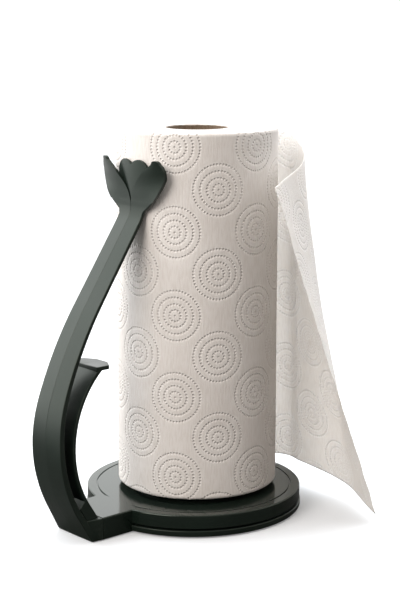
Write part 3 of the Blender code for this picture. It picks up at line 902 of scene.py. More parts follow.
@dataclass(frozen=True)
class WeightedBase:
    """The round base: top shell with its extension towards the arm, bottom cover, ballast, mat and pad."""

    shell_radius: float = 81.0
    shell_top: float = 17.0
    shell_floor: float = 14.0
    neck_radius: float = 75.5
    wall_inside: float = 72.5
    neck_bottom: float = 5.8
    neck_top: float = 7.0
    groove_radius: float = 73.6
    groove_width: float = 1.3
    groove_depth: float = 0.8
    rim_rounding: float = 1.0
    cover_radius: float = 81.5
    cover_bottom: float = 1.1
    cover_top: float = 5.5
    extension_half: float = 21.5
    extension_start: float = -72.0
    extension_end: float = -104.3
    extension_wall: float = 2.6
    extension_bottom: float = 0.8
    spigot_radius: float = 15.2
    spigot_top: float = 23.0
    rod_hole: float = 3.4
    screw_circle: float = 56.0
    screw_hole: SunkHole = SunkHole(1.9, 0.0, 20.0, 3.5, 3.3)
    boss_radius: float = 4.0
    boss_bottom: float = 10.8
    notch_end: float = -76.0
    toe_way_top: float = 7.0
    below: float = -5.0

    def screw_places(self) -> list[tuple[float, float]]:
        """Centres of the four cover screws."""
        turns = (math.radians(45 + 90 * number) for number in range(4))
        return [(self.screw_circle * math.cos(turn), self.screw_circle * math.sin(turn)) for turn in turns]

    def shell(self) -> Piece:
        """Top shell: turned disc, squared extension, spigot for the spindle and screw bosses."""
        groove, half = self.groove_radius, self.groove_width / 2
        outline = (
            Corner(0.0, self.shell_top), Corner(groove - half, self.shell_top, 0.15),
            Corner(groove - half * 0.6, self.shell_top - self.groove_depth),
            Corner(groove + half * 0.6, self.shell_top - self.groove_depth),
            Corner(groove + half, self.shell_top, 0.15),
            Corner(self.shell_radius, self.shell_top, self.rim_rounding),
            Corner(self.shell_radius, self.neck_top, 0.4), Corner(self.neck_radius, self.neck_top, 0.2),
            Corner(self.neck_radius, self.neck_bottom), Corner(self.wall_inside, self.neck_bottom),
            Corner(self.wall_inside, self.shell_floor, 0.6), Corner(0.0, self.shell_floor),
        )
        piece = make_piece("base_shell_fine", turned(outline, 180, 4))
        low = (self.extension_end, -self.extension_half, self.extension_bottom)
        block = box(low, (self.extension_start, self.extension_half, self.shell_top))
        top = [edge for edge in block.edges if all(vert.co.z > self.shell_top - 0.1 for vert in edge.verts)
               and abs(edge.verts[0].co.y - edge.verts[1].co.y) < 1]
        round_edges(block, top, self.rim_rounding, 4)
        inside = self.extension_half - self.extension_wall
        hollow = box((self.extension_end + self.extension_wall, -inside, self.below),
                     (self.extension_start - 4.0, inside, self.shell_floor))
        toe_way = box((self.extension_end - 2.0, -inside, self.below),
                      (self.extension_end + 4.0, inside, self.toe_way_top))
        spigot = rod(self.spigot_radius, self.shell_top - 1.0, self.spigot_top, steps=64)
        tools = [(Join.ADD, block), (Join.CUT, hollow), (Join.CUT, toe_way), (Join.ADD, spigot),
                 (Join.CUT, rod(self.rod_hole, 10.0, 30.0))]
        tools += [(Join.ADD, rod(self.boss_radius, self.boss_bottom, self.shell_floor + 1.0, place))
                  for place in self.screw_places()]
        fuse(piece, tools, 30.0)
        return piece

    def cover(self) -> Piece:
        """Bottom cover: a turned plate with a notch for the extension and countersunk screw holes."""
        outline = (Corner(0.0, self.cover_bottom), Corner(self.cover_radius, self.cover_bottom, 0.9),
                   Corner(self.cover_radius, self.cover_top, 0.7), Corner(0.0, self.cover_top))
        piece = make_piece("bottom_cover_fine", turned(outline, 180, 4))
        half = self.extension_half + GAP
        notch = box((-100.0, -half, self.below), (self.notch_end + GAP, half, 20.0))
        fuse(piece, [(Join.CUT, notch), *self.screw_hole.cuts(self.screw_places())], 30.0)
        return piece

    def build(self, finishes: Finishes) -> None:
        """Make and dress the whole base."""
        install(self.shell(), finishes.polished, Slot.GREEN, Body.BASE, "base_shell")
        install(self.cover(), finishes.plastic, Slot.GREEN, Body.BASE, "bottom_cover")
        dress_node("weight_plate", finishes.ballast)
        for name in ("grip_mat", "foot_pad"):
            dress_node(name, finishes.rubber)
        for number in range(4):
            dress_node(f"cover_screw_{number + 1}", finishes.zinc)


@dataclass(frozen=True)
class Spindle:
    """The upright tube that the roll stands round, with its seat, cap and tie rod."""

    foot: float = 17.3
    radius: float = 18.0
    bore: float = 15.6
    top: float = 252.0
    seat_radius: float = 47.0
    seat_top: float = 20.8
    cap_height: float = 9.0
    plug_depth: float = 12.0
    rod_bore: float = 3.3

    def build(self, finishes: Finishes) -> None:
        """Make and dress the spindle."""
        hole = self.radius + GAP
        seat = turned((Corner(hole, self.foot), Corner(self.seat_radius, self.foot, 0.3),
                       Corner(self.seat_radius, self.seat_top, 1.2), Corner(hole, self.seat_top, 0.3)), 128)
        tube = turned((Corner(self.bore, self.foot), Corner(self.radius, self.foot, 0.3),
                       Corner(self.radius, self.top, 0.5), Corner(self.bore, self.top, 0.3)), 96)
        under, plug = self.top + GAP, self.bore - GAP
        shoulder = self.cap_height * 0.72
        crown = under + self.cap_height
        outline = (Corner(self.rod_bore, under + self.cap_height * 0.4),
                   Corner(0.0, under + self.cap_height * 0.5), Corner(0.0, crown),
                   Corner(self.radius * 0.55, crown, 4.0),
                   Corner(self.radius, under + shoulder * 0.6, 3.6), Corner(self.radius, under, 0.3),
                   Corner(plug, under), Corner(plug, under - self.plug_depth, 0.8),
                   Corner(self.rod_bore, under - self.plug_depth, 0.4))
        cap = turned(outline, 96, 6)
        parts = (("roll_seat", seat, 40.0), ("spindle_tube", tube, 40.0), ("spindle_cap", cap, 30.0))
        for node, form, sharp in parts:
            piece = make_piece(f"{node}_fine", form, sharp)
            install(piece, finishes.plastic, Slot.GREEN, Body.BASE, node)
        for name in ("tie_rod", "tie_rod_washer"):
            dress_node(name, finishes.zinc)


# ---------------------------------------------------------------- arm, leaf and head


@dataclass(frozen=True)
class Screw:
    """A pan-head screw standing on its head, with a cross recess and a threaded shank."""

    head_radius: float
    head_height: float
    shank_radius: float
    length: float
    pitch: float = 1.25
    thread_depth: float = 0.22

    def build(self, name: str, at: Point) -> Piece:
        """Turn the screw at a place and cut its recess."""
        root = self.shank_radius - self.thread_depth
        outline = [Corner(0.0, 0.0), Corner(self.head_radius, 0.0, 0.5),
                   Corner(self.head_radius, self.head_height, 0.2), Corner(root, self.head_height)]
        low = self.head_height + 0.5
        while low + self.pitch < self.length - 1.0:
            outline += [Corner(self.shank_radius, low + self.pitch * 0.5),
                        Corner(root, low + self.pitch * 0.95)]
            low += self.pitch
        outline.append(Corner(0.0, self.length))
        form = turned(outline, 32, 3)
        bmesh.ops.translate(form, vec=at, verts=form.verts)
        piece = make_piece(name, form, 35.0)
        x, y, foot = at
        reach, slot = self.head_radius * 0.56, self.head_radius * 0.12
        recess = foot + self.head_height * 0.6
        fuse(piece, [(Join.CUT, box((x - wide, y - deep, foot - 1.0), (x + wide, y + deep, recess)))
                     for wide, deep in ((reach, slot), (slot, reach))], 35.0)
        return piece


@dataclass(frozen=True)
class SprungArm:
    """The arm in one sweep from the foot to the head, the leaf in front of it, the petals and the screws."""

    route: Route = Route(
        (-113.0, 0.0), 29.0, ((23.3, 0.0), (88.0, -48.3), (68.4, -14.6), (70.1, 0.0), (10.0, 33.9)))
    half_width: Graph = Graph(((-10.0, 21.6), (0.0, 21.0), (14.0, 19.0), (28.0, 18.0), (75.0, 17.1),
                               (115.0, 15.0), (190.0, 13.6), (259.8, 12.9)), 14.0)
    thickness: Graph = Graph(((-10.0, 5.0), (0.0, 5.0), (60.0, 4.2), (130.0, 3.4), (180.0, 2.7),
                              (259.8, 2.6)), 6.0)
    crest: Graph = Graph(((-10.0, 0.25), (30.0, 0.25), (120.0, 0.55), (300.0, 0.55)), 30.0)
    crease_depth: Graph = Graph(((40.0, 0.0), (110.0, 0.12), (300.0, 0.12)), 20.0)
    crease_half: float = 0.25
    sweep_start: float = -6.0
    sweep_rings: int = 92
    neck_rings: int = 5
    hinge: float = 121.0
    bend_reach: float = 22.0
    edge_rounding: float = 0.7
    foot_bottom: float = 0.8
    foot_top: float = 16.7
    foot_seam: float = -104.6
    foot_half: float = 21.5
    foot_against_arm: tuple[float, float] = (20.6, 18.4)
    toe_low: Point = (-107.0, -18.1, 1.1)
    toe_high: Point = (-84.0, 18.1, 6.6)
    toe_screws: tuple[tuple[float, float], ...] = ((-92.5, -9.5), (-92.5, 9.5))
    toe_hole: SunkHole = SunkHole(1.7, 0.0, 10.0, 3.4, 3.3)

    leaf_route: Route = Route((-97.4, 1.8), 30.75, ((30.6, 0.0), (100.0, -76.0), (6.0, 0.0)))
    leaf_half: Graph = Graph(((0.0, 20.0), (30.0, 18.0), (90.0, 16.4), (126.0, 15.4)), 12.0)
    leaf_thick: float = 2.6
    leaf_dip: float = 0.9
    leaf_rounding: float = 0.55
    leaf_blade_start: float = 8.0
    leaf_blade_end: float = 134.2
    leaf_root_end: float = 34.0
    leaf_foot: float = 17.0
    leaf_screws: tuple[tuple[float, float], ...] = ((-110.8, -9.0), (-110.8, 9.0))
    leaf_hole: SunkHole = SunkHole(1.3, -2.0, 30.0, 2.05, 4.3)
    leaf_pilot: float = 1.2
    lip_top: float = 126.0
    lip_thick: float = 3.0
    lip_back: float = -103.2
    lip_nose: float = -86.8
    lip_corner: float = -92.4
    lip_half: float = 15.4
    lip_flat: float = 0.42
    lip_fold: float = 0.33

    tip: tuple[float, float] = (27.5, 268.4)
    head_half: Graph = Graph(((230.6, 12.9), (233.6, 17.4), (238.0, 23.0), (243.0, 27.4), (249.0, 31.2),
                              (255.0, 34.2), (261.0, 34.4), (264.6, 33.0), (266.8, 31.0), (268.4, 28.2)), 1.0)
    notch: float = 238.2
    face: float = -59.0
    petal_thick: float = 2.6
    petal_crown: float = 0.35
    open_x: float = -60.6
    open_curve: float = 190.0
    lean: float = 4.2
    lean_start: float = 246.0
    lean_height: float = 22.0
    tip_round: float = 2.6
    slot_half: float = 0.5
    bump_centre: float = 7.2
    bump_radius: float = 9.0
    bump_height: float = 258.6
    middle_half: float = 16.0
    middle_thick: float = 2.0
    middle_behind: float = 2.2
    roll_centre: float = 3.5
    roll_radius: float = 60.0

    def section(self, distance: float) -> list[Vector]:
        """The arm's section at a distance: two facets meeting at a crest with a fine crease."""
        x, z, angle = self.route.at(distance)
        half = max(self.half_width.at(distance), self.head_half.at(z))
        crest, crease = self.crest.at(distance), self.crease_depth.at(distance)
        across = Vector((math.cos(angle), 0.0, math.sin(angle)))
        fine, thick = self.crease_half, self.thickness.at(distance)
        shoulder = crest * (1 - fine / half)
        outer = ((-half, 0.0), (-fine, shoulder), (0.0, crest - crease), (fine, shoulder), (half, 0.0))
        inner = ((half, -thick), (0.0, crest - thick), (-half, -thick))
        return [Vector((x, y, z)) - across * rise for y, rise in outer + inner]

    def arm_top(self) -> float:
        """Height of the sweep's last bend, where the head begins."""
        return self.route.at(self.route.length())[1]

    def sweep(self) -> Piece:
        """The arm's sweep with its foot."""
        end = self.route.length()
        start, rise = self.sweep_start, self.notch - self.arm_top()
        marks = [start + (end - start) * number / self.sweep_rings for number in range(self.sweep_rings + 1)]
        marks += [end + rise * number / self.neck_rings for number in range(1, self.neck_rings + 1)]
        form, points = loft([self.section(mark) for mark in marks])
        round_edges(form, long_edges(form, points, (0, 4, 5, 7)), self.edge_rounding, 3)
        cut_below(form, self.foot_bottom)
        piece = make_piece("arm_sweep", form, 30.0)
        holes = self.toe_hole.cuts(self.toe_screws) + self.leaf_hole.cuts(self.leaf_screws)
        fuse(piece, [(Join.ADD, self.foot()), (Join.ADD, self.toe()), *holes], 32.0)
        near, vertices = 1.2 * self.crease_half * MM, piece.data.vertices
        for edge in piece.data.edges:
            if all(abs(vertices[number].co.y) < near for number in edge.vertices):
                edge.use_edge_sharp = True
        return piece

    def inner_face(self, height: float) -> float:
        """X of the arm's inner face at a height, low down where the leaf and the foot meet it."""
        distance = height
        while True:
            x, z, angle = self.route.at(distance)
            thick = self.thickness.at(distance)
            if z + thick * math.sin(angle) >= height:
                return x + thick * math.cos(angle)
            distance += 0.25

    def foot(self) -> Form:
        """The block that fills the corner between the arm and the base's extension."""
        rings = []
        for height, half in zip((self.foot_bottom, self.foot_top), self.foot_against_arm):
            face = self.inner_face(height) - 1.5
            rings.append([Vector(corner) for corner in (
                (self.foot_seam, -self.foot_half, height), (self.foot_seam, self.foot_half, height),
                (face, half, height), (face, -half, height))])
        form, _ = loft(rings)
        top = [edge for edge in form.edges if all(vert.co.z > self.foot_top - 0.1 for vert in edge.verts)
               and abs(edge.verts[0].co.x - edge.verts[1].co.x) > 1]
        round_edges(form, top, 0.8, 3)
        return form

    def toe(self) -> Form:
        """The tongue under the extension that takes the arm's screws."""
        return box(self.toe_low, self.toe_high, 0.5)

    def leaf_depth(self, mark: float) -> float:
        """The leaf's thickness at a distance: solid back to the arm at the root, then a blade."""
        if mark > self.leaf_root_end:
            return self.leaf_thick
        x, z, angle = self.leaf_route.at(mark)
        depth = 0.0
        while x - depth * math.cos(angle) > self.inner_face(z - depth * math.sin(angle)) + GAP + 0.15:
            depth += 0.1
        return depth

    def leaf(self) -> Piece:
        """The leaf: a curved, creased blade under a flat lip that reaches over towards the roll."""
        first, last, count = self.leaf_blade_start, self.leaf_blade_end, 60
        rings = []
        for mark in (first + (last - first) * number / count for number in range(count + 1)):
            x, z, angle = self.leaf_route.at(mark)
            half = self.leaf_half.at(mark)
            across = Vector((math.cos(angle), 0.0, math.sin(angle)))
            depth = self.leaf_depth(mark)
            dip = self.leaf_dip * ease((mark - 40.0) / 40.0)
            front = ((-half, 0.0), (0.0, dip), (half, 0.0))
            back = ((half, depth), (0.0, dip * 0.6 + depth), (-half, depth))
            rings.append([Vector((x, y, z)) - across * low for y, low in front + back])
        form, points = loft(rings)
        round_edges(form, long_edges(form, points, (0, 2, 3, 5)), self.leaf_rounding, 3)
        cut_below(form, self.leaf_foot)
        piece = make_piece("leaf_fine", form, 30.0)
        pilots = [(Join.CUT, rod(self.leaf_pilot, 0.0, 20.5, place)) for place in self.leaf_screws]
        fuse(piece, [(Join.ADD, self.lip()), *pilots], 30.0)
        return piece

    def lip(self) -> Form:
        """The leaf's flat lip, with a blunt nose and a shallow fold down its middle."""

        def place(across: float, along: float) -> Vector:
            """A point of the lip's top."""
            y = self.lip_half * (2 * across - 1)
            off = abs(y) / self.lip_half
            slant = max(0.0, (off - self.lip_flat) / (1 - self.lip_flat))
            front = self.lip_nose + (self.lip_corner - self.lip_nose) * slant
            fold = self.lip_fold * (1 - off) * (1 - along)
            x = self.lip_back + (front - self.lip_back) * along
            return Vector((x, y, self.lip_top - 0.25 - fold))

        form = plate(24, 10, place, Vector((0.0, 0.0, -self.lip_thick)))
        round_edges(form, sharp_edges(form), self.leaf_rounding, 3)
        return form

    def petal_face(self, y: float, z: float, share: float) -> float:
        """X of a side petal's front at a place, with a share from its inner to its outer edge."""
        rise = max(0.0, (z - self.lean_start) / self.lean_height)
        open_face = self.open_x + y * y / self.open_curve - self.lean * rise ** 1.3
        level = (z - self.notch) / (self.tip[1] - self.notch)
        stem_face = self.face - self.crest.knots[-1][1] * (1 - abs(y) / self.head_half.at(self.notch))
        crown = self.petal_crown * math.sin(math.pi * min(1.0, max(0.0, share))) * ease(level / 0.35)
        flare = ease(level / 0.75)
        return stem_face * (1 - flare) + open_face * flare - crown

    def petal(self, side: int) -> Form:
        """One side petal, growing out of half of the sweep's end, with a rounded tip."""
        low, (tip_y, tip_z) = self.notch, self.tip
        shoulder = tip_z - self.tip_round

        def place(across: float, along: float) -> Vector:
            """A point of the petal's front."""
            level = math.sin(along * math.pi / 2) ** 1.1
            z = low + (shoulder - low) * level
            inner = self.slot_half + (tip_y - self.tip_round - self.slot_half) * level ** 1.8
            outer = self.head_half.at(z) - 0.6 * level
            y = inner + (outer - inner) * across
            z += self.tip_round * math.sqrt(max(0.0, 1 - (2 * across - 1) ** 2)) * along ** 6
            return Vector((self.petal_face(y, z, across), side * y, z))

        form = plate(16, 32, place, Vector((self.petal_thick, 0.0, 0.0)))
        rim = [edge for edge in sharp_edges(form) if sum(vert.co.z for vert in edge.verts) / 2 > low + 0.4]
        round_edges(form, rim, 0.4, 3)
        return form

    def middle(self) -> Form:
        """The two rounded middle petals, on one curved plate behind the side ones."""
        low = self.arm_top() + GAP + 0.2

        def place(across: float, along: float) -> Vector:
            """A point of the plate's front."""
            y = self.middle_half * (2 * across - 1)
            off = abs(y) - self.bump_centre
            top = self.bump_height + math.sqrt(max(0.0, self.bump_radius ** 2 - off ** 2))
            edge = low + 2.8 * ease((abs(y) - 12.0) / 3.0)
            z = edge + (top - edge) * along
            back = self.roll_centre - math.sqrt((self.roll_radius + GAP + self.middle_behind) ** 2 - y * y)
            return Vector((back, y, z))

        form = plate(64, 14, place, Vector((self.middle_thick, 0.0, 0.0)))
        round_edges(form, sharp_edges(form, 60.0), 0.3, 3)
        return form

    def screws(self, finishes: Finishes) -> None:
        """The four screws that can be seen from below."""
        sets = (("arm_screw", self.toe_screws, Screw(3.0, 1.7, 1.2, 11.2), 1.3),
                ("leaf_screw", self.leaf_screws, Screw(1.85, 1.4, 1.0, 17.9), 2.3))
        for name, places, screw, foot in sets:
            for number, (x, y) in enumerate(places, 1):
                piece = screw.build(f"{name}_{number}_fine", (x, y, foot))
                install(piece, finishes.zinc, Slot.ZINC, Body.BASE, f"{name}_{number}")

    def build(self, finishes: Finishes) -> None:
        """Make and dress the arm, the leaf, the head and the screws."""
        sweep = self.sweep()
        weigh_normals(sweep)
        sweep.data.materials.append(finishes.plastic)
        x, z, angle = self.route.at(self.hinge)
        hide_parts("lower_arm", "upper_stem")
        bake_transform(sweep)
        LOG.info("%s bends from %s to %s", sweep.name, Body.BASE.value, Body.ARM.value)
        install(self.leaf(), finishes.plastic, Slot.GREEN, Body.BASE, "leaf")
        head = self.middle()
        for side in (-1, 1):
            merge_form(head, self.petal(side))
        install(make_piece("tulip_petals", head, 35.0), finishes.plastic, Slot.GREEN, Body.ARM, "tulip_head")
        self.screws(finishes)


# ---------------------------------------------------------------- roll and loose sheet


@dataclass(frozen=True)
class EdgeLine:
    """A smooth line through the points of one edge of the loose sheet."""

    points: tuple[Point, ...]

    def at(self, share: float) -> Vector:
        """A point at a share from 0 to 1 of the way through the points."""
        corners = [Vector(point) for point in self.points]
        padded = [2 * corners[0] - corners[1], *corners, 2 * corners[-1] - corners[-2]]
        reach = min(share, 1.0) * (len(corners) - 1)
        number = min(int(reach), len(corners) - 2)
        t = reach - number
        a, b, c, d = padded[number:number + 4]
        bend, twist = 2 * a - 5 * b + 4 * c - d, 3 * b - a - 3 * c + d
        return 0.5 * (2 * b + (c - a) * t + bend * t * t + twist * t ** 3)


@dataclass(frozen=True)
class TowelRoll:
    """Cardboard core, wound paper and the loose sheet that hangs off it."""

    emboss: Emboss
    centre: float = 3.5
    radius: float = 60.0
    bottom: float = 21.1
    top: float = 287.0
    core_bore: float = 22.0
    core_outer: float = 23.0
    rounding: float = 1.1
    press: float = 0.10
    softness: float = 0.16
    rim_wear: float = 0.35
    wall_columns: int = 300
    wall_rows: int = 200
    end_steps: int = 24

    leave_turn: float = 41.5
    hug: float = 12.0
    lower_edge: EdgeLine = EdgeLine((
        (49.3, 40.5, 21.6), (87.9, -1.9, 21.3), (91.3, -24.2, 19.6), (92.6, -46.5, 17.0), (93.0, -64.5, 14.0),
        (90.0, -83.0, 11.0), (77.0, -109.0, 7.5), (69.5, -124.0, 6.4)))
    upper_edge: EdgeLine = EdgeLine((
        (49.3, 40.5, 286.6), (84.0, -2.0, 281.0), (80.4, -26.0, 276.0), (70.0, -44.0, 269.0),
        (58.0, -56.0, 264.0), (42.0, -67.0, 260.0), (14.5, -80.5, 254.5), (-5.0, -90.5, 251.0)))
    sheet_width: float = 197.0
    sheet_length: float = 265.9
    sheet_thick: float = 0.35
    sheet_cell: float = 1.35
    hug_reach: float = 61.1
    hug_settle: float = 0.55
    wave_start: float = 60.0
    rim_width: float = 22.0

    def wall_place(self, vert: Vector) -> tuple[float, float]:
        """Where a point of the wall is on the unrolled paper."""
        return math.atan2(vert.y, vert.x) % math.tau * self.radius, vert.z

    def core(self) -> Piece:
        """The board tube, a little rough at its rims."""
        height = self.top - self.bottom
        places = ((self.core_bore, 0.0), (self.core_outer, 0.0),
                  (self.core_outer, height - 0.5), (self.core_bore, height - 0.5))
        form = turned([Corner(radius, level, 0.2) for radius, level in places], 160, 2)
        for vert in form.verts:
            if vert.co.z > height - 3.0:
                vert.co.z += self.rim_wear * noise.noise(Vector((vert.co.x, vert.co.y, 0.0)) * 0.35)
        bmesh.ops.translate(form, vec=(self.centre, 0.0, self.bottom), verts=form.verts)
        return make_piece("roll_core_fine", form, 35.0)

    def wound(self, finishes: Finishes) -> Piece:
        """The wound paper: embossed wall and layered ends."""
        inner = self.core_outer + GAP
        form = bmesh.new()
        low, high = self.bottom, self.top
        flat_width, wall_height = self.radius - self.rounding - inner, high - low - 2 * self.rounding
        across = [inner + flat_width * n / self.end_steps for n in range(self.end_steps + 1)]
        upward = [low + self.rounding + wall_height * n / self.wall_rows for n in range(self.wall_rows + 1)]
        corners = [(x, low) for x in across] + [(self.radius, z) for z in upward]
        corners += [(x, high) for x in reversed(across)]
        outline = [form.verts.new((x, 0.0, z)) for x, z in corners]
        edges = [form.edges.new(pair) for pair in zip(outline, outline[1:] + outline[:1])]
        bmesh.ops.spin(form, geom=outline + edges, cent=(0, 0, 0), axis=(0, 0, 1), angle=math.tau,
                       steps=self.wall_columns, use_merge=True)
        bmesh.ops.remove_doubles(form, verts=form.verts, dist=1e-3)
        bmesh.ops.recalc_face_normals(form, faces=form.faces)
        flat = form.loops.layers.uv.new("UVMap")
        for face in form.faces:
            face.material_index = 1 if abs(face.normal.z) > 0.8 else 0
            turns = [self.wall_place(loop.vert.co) for loop in face.loops]
            wraps = max(turn for turn, _ in turns) - min(turn for turn, _ in turns) > self.radius * math.pi
            for loop, (turn, height) in zip(face.loops, turns):
                if wraps and turn < self.radius * math.pi:
                    turn += self.radius * math.tau
                loop[flat].uv = (turn * MM, height * MM)
        for vert in form.verts:
            self.press_wall(vert)
        bmesh.ops.translate(form, vec=(self.centre, 0.0, 0.0), verts=form.verts)
        piece = make_piece("paper_roll_fine", form, 50.0)
        piece.data.materials.append(finishes.paper)
        piece.data.materials.append(finishes.wound)
        return piece

    def press_wall(self, vert: bmesh.types.BMVert) -> None:
        """Press the rings into the wall, soften it, and let the ends' turns stand unevenly."""
        reach = math.hypot(vert.co.x, vert.co.y)
        if reach > self.radius - 0.2:
            turn, height = self.wall_place(vert.co)
            angle = turn / self.radius
            spot = Vector((math.cos(angle) * 2.2, math.sin(angle) * 2.2, height * 0.02))
            inwards = self.press * self.emboss.relief(turn, height) - self.softness * noise.noise(spot) + 0.12
            vert.co.x *= 1 - inwards / reach
            vert.co.y *= 1 - inwards / reach
        elif reach > self.core_outer + GAP + 0.1 and vert.co.z > self.top - 0.1:
            spot = Vector((vert.co.x, vert.co.y, 0.0)) * 0.08
            vert.co.z -= 0.25 + 0.22 * math.sin(reach * 1.9) + 0.25 * noise.noise(spot)

    def sheet_share(self) -> Callable[[float], float]:
        """A function from distance along the sheet's middle to a share of its edge lines."""
        steps = 240
        marks = [n / steps for n in range(steps + 1)]
        middles = [(self.lower_edge.at(mark) + self.upper_edge.at(mark)) / 2 for mark in marks]
        reached = [0.0]
        for before, after in zip(middles, middles[1:]):
            reached.append(reached[-1] + (after - before).length)
        total = reached[-1]

        def share(distance: float) -> float:
            """Share of the edge lines at a distance, where the whole width is the sheet's."""
            wanted = distance / self.sheet_width * total
            for number, (low, high) in enumerate(zip(reached, reached[1:])):
                if wanted <= high:
                    return (number + (wanted - low) / (high - low)) / steps
            return 1.0

        return share

    def sheet(self, finishes: Finishes) -> Piece:
        """The loose sheet: tangent to the roll, drooping outwards below and curling round above."""
        width, length = self.sheet_width + self.hug, self.sheet_length
        columns, rows = round(width / self.sheet_cell), round(length / self.sheet_cell)
        form = bmesh.new()
        bmesh.ops.create_grid(form, x_segments=columns, y_segments=rows, size=0.5)
        flat = form.loops.layers.uv.new("UVMap")
        spots = {vert: ((vert.co.x + 0.5) * width - self.hug, (vert.co.y + 0.5) * length)
                 for vert in form.verts}
        start = math.radians(self.leave_turn) * self.radius
        for face in form.faces:
            for loop in face.loops:
                out, up = spots[loop.vert]
                loop[flat].uv = ((start - out) * MM, (self.bottom + up) * MM)
        share = self.sheet_share()
        for vert, (out, up) in spots.items():
            vert.co = self.sheet_point(out, up, share)
        form.normal_update()
        moves = {vert: vert.normal * self.sheet_relief(*spots[vert]) for vert in form.verts}
        for vert, move in moves.items():
            vert.co += move
        piece = make_piece("loose_sheet_fine", form, 60.0)
        skin = piece.modifiers.new("thickness", "SOLIDIFY")
        skin.thickness = self.sheet_thick * MM
        skin.offset = 0.0
        return piece

    def sheet_point(self, out: float, up: float, share: Callable[[float], float]) -> Vector:
        """A point of the sheet's middle surface, before its relief."""
        level = up / self.sheet_length
        if out < 0:
            turn = math.radians(self.leave_turn) - out / self.radius
            reach = self.hug_reach - self.hug_settle * ease(-out / self.hug)
            height = self.bottom + 0.5 + (self.sheet_length - 0.9) * level
            return Vector((self.centre + reach * math.cos(turn), reach * math.sin(turn), height))
        torn = 0.28 * math.sin(up * 2.1) + 0.2 * math.sin(up * 3.7 + 1.0)
        tear = torn * ease((out - self.sheet_width + 3.0) / 3.0)
        place = share(max(0.0, out - 0.4 + tear) if out > 5 else out)
        return self.lower_edge.at(place).lerp(self.upper_edge.at(place), level)

    def sheet_relief(self, out: float, up: float) -> float:
        """How far the sheet stands off its smooth surface."""
        start = math.radians(self.leave_turn) * self.radius
        pressed = self.press * (self.emboss.relief(start - out, self.bottom + up) - 0.3)
        free = ease(out / self.wave_start)
        spot = Vector((out * 0.022, up * 0.016, 0.0))
        rim = ease((out - self.sheet_width + self.rim_width) / self.rim_width)
        waves = 1.1 * noise.noise(spot) + 0.5 * rim * noise.noise(Vector((out * 0.05, up * 0.075, 4.0)))
        return pressed + free * waves

    def build(self, finishes: Finishes) -> None:
        """Make and dress the roll and its sheet."""
        install(self.core(), finishes.cardboard, Slot.CARDBOARD, Body.ROLL, "roll_core")
        roll = install(self.wound(finishes), finishes.paper, Slot.PAPER, Body.ROLL, "paper_roll")
        sheet = install(self.sheet(finishes), finishes.loose_paper, Slot.PAPER, Body.SHEET, "loose_sheet")


# ---------------------------------------------------------------- studio


@dataclass(frozen=True)
class SoftLight:
    """A large soft lamp, placed in metres."""

    name: str
    place: Point
    size: tuple[float, float]
    power: float
    aim: Point = (0.0, 0.0, 0.13)
    tint: Colour = (1.0, 1.0, 1.0)

    def build(self) -> None:
        """Hang the lamp."""
        data = bpy.data.lights.new(self.name, "AREA")
        data.shape = "RECTANGLE"
        data.size, data.size_y = self.size
        data.energy = self.power
        data.color = self.tint
        lamp = bpy.data.objects.new(self.name, data)
        lamp.location = self.place
        lamp.rotation_euler = (Vector(self.aim) - Vector(self.place)).to_track_quat("-Z", "Y").to_euler()
        bpy.context.scene.collection.objects.link(lamp)


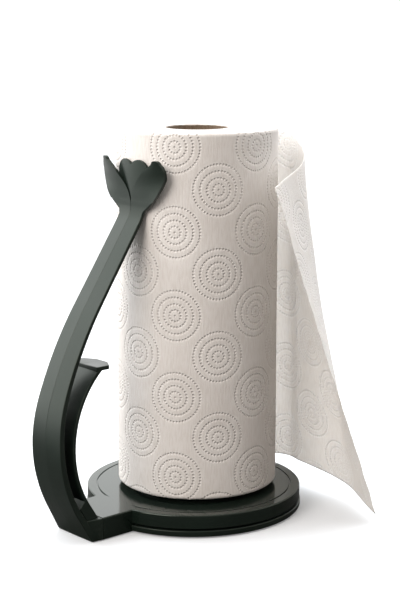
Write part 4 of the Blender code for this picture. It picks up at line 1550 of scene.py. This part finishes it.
@dataclass(frozen=True)
class Studio:
    """Pale floor, soft lamps, world and camera."""

    floor_radius: float = 6.0
    floor_colour: Colour = (0.70, 0.735, 0.77)
    floor_return: Colour = (0.09, 0.09, 0.09)
    floor_glow: float = 0.19
    # Glow of the far floor behind and to the left: painted bounce light for all but camera rays.
    floor_bounce: float = 0.9
    world_front: float = 0.40
    world_back: float = 1.9
    world_seen: float = 1.1
    front_tint: Colour = (1.0, 0.89, 0.81)
    lamp_tint: Colour = (1.0, 0.93, 0.87)
    camera_place: Point = (-0.7285, -0.8309, 0.3781)
    camera_tilt: float = 78.74
    camera_turn: float = -41.5
    lens: float = 90.35
    sensor: float = 36.0

    def toward(self, right: float, back: float, up: float) -> Point:
        """A place given by how far right, back and up it is as the camera sees the holder."""
        turn = math.radians(self.camera_turn)
        cos, sin = math.cos(turn), math.sin(turn)
        return right * cos - back * sin, right * sin + back * cos, up

    def lamps(self) -> tuple[SoftLight, ...]:
        """The soft lamps."""
        return (
            SoftLight("left_lamp", self.toward(-1.55, 0.25, 0.80), (2.0, 2.1), 21.0),
            SoftLight("front_left_lamp", self.toward(-1.3, -1.5, 1.4), (1.3, 1.3), 34.0, tint=self.lamp_tint),
            SoftLight("right_back_lamp", self.toward(1.5, 0.7, 0.8), (1.5, 1.8), 9.0),
            SoftLight("top_lamp", self.toward(-0.1, 0.7, 1.9), (1.6, 1.6), 14.0),
        )

    def floor(self) -> None:
        """A wide pale floor that reads white, throws little light back up near the holder, and further off,
        behind and to the left, glows as painted bounce light.
        """
        form = bmesh.new()
        bmesh.ops.create_circle(form, cap_ends=True, segments=96, radius=self.floor_radius / MM)
        piece = make_piece("studio_floor", form)
        material, wiring, shader = start_material("studio_floor")
        cloud = wiring.noise(wiring.place(), 3.0, 2.0)
        paler = tuple(min(1.0, channel * 1.04) for channel in self.floor_colour)
        seen = wiring.node("ShaderNodeLightPath").outputs["Is Camera Ray"]
        pale = wiring.blend(cloud, self.floor_colour, paler)
        wiring.feed(shader.inputs["Base Color"], wiring.blend(seen, self.floor_return, pale))
        shader.inputs["Roughness"].default_value = 0.9
        shader.inputs["Specular IOR Level"].default_value = 0.1
        shader.inputs["Emission Color"].default_value = (1.0, 1.0, 1.0, 1.0)
        # Painted bounce light: further off, behind and to the left, the floor glows for all but camera rays,
        # which gives the upper arm a bright painted reflection.
        behind = wiring.node("ShaderNodeVectorMath", operation="DOT_PRODUCT")
        wiring.feed(behind.inputs[0], wiring.place())
        behind.inputs[1].default_value = self.toward(-0.75, 0.66, 0.0)
        bounce = wiring.span(behind.outputs["Value"], 0.12, 0.8, 0.0, self.floor_bounce)
        glow = wiring.math("MULTIPLY_ADD", wiring.math("SUBTRACT", self.floor_glow, bounce), seen, bounce)
        wiring.feed(shader.inputs["Emission Strength"], glow)
        piece.data.materials.append(material)

    def world(self) -> None:
        """White surroundings for the camera; for the light, dim and warm in front and bright behind."""
        world = bpy.data.worlds.new("studio")
        world.use_nodes = True
        bpy.context.scene.world = world
        wiring = Wiring(world.node_tree)
        background = world.node_tree.nodes["Background"]
        facing = wiring.node("ShaderNodeVectorMath", operation="DOT_PRODUCT")
        wiring.feed(facing.inputs[0], wiring.node("ShaderNodeTexCoord").outputs["Generated"])
        facing.inputs[1].default_value = self.toward(0.0, 0.94, 0.34)
        share = wiring.span(facing.outputs["Value"], -0.3, 0.6)
        soft = wiring.span(share, 0.0, 1.0, self.world_front, self.world_back, smooth=False)
        seen = wiring.node("ShaderNodeLightPath").outputs["Is Camera Ray"]
        strength = wiring.math("MULTIPLY_ADD", wiring.math("SUBTRACT", self.world_seen, soft), seen, soft)
        wiring.feed(background.inputs["Strength"], strength)
        white = wiring.math("MAXIMUM", share, seen)
        wiring.feed(background.inputs["Color"], wiring.blend(white, self.front_tint, (1.0, 1.0, 1.0)))

    def camera(self) -> None:
        """The camera, and plain tones in its pictures."""
        data = bpy.data.cameras.new("camera")
        data.lens = self.lens
        data.sensor_width = self.sensor
        data.sensor_fit = "AUTO"
        data.clip_start, data.clip_end = 0.05, 50.0
        camera = bpy.data.objects.new("camera", data)
        camera.location = self.camera_place
        camera.rotation_euler = (math.radians(self.camera_tilt), 0.0, math.radians(self.camera_turn))
        bpy.context.scene.collection.objects.link(camera)
        bpy.context.scene.camera = camera
        bpy.context.scene.view_settings.view_transform = "Standard"

    def build(self) -> None:
        """Set the whole studio up."""
        self.camera()
        self.floor()
        self.world()
        for lamp in self.lamps():
            lamp.build()


def main() -> None:
    """Build the studio, then each sub-assembly in order."""
    logging.basicConfig(level=logging.INFO, format="%(message)s")
    emboss = Emboss()
    Studio().build()
    finishes = Finishes.build(emboss)
    WeightedBase().build(finishes)
    Spindle().build(finishes)
    SprungArm().build(finishes)
    TowelRoll(emboss).build(finishes)


if __name__ == "__main__":
    main()
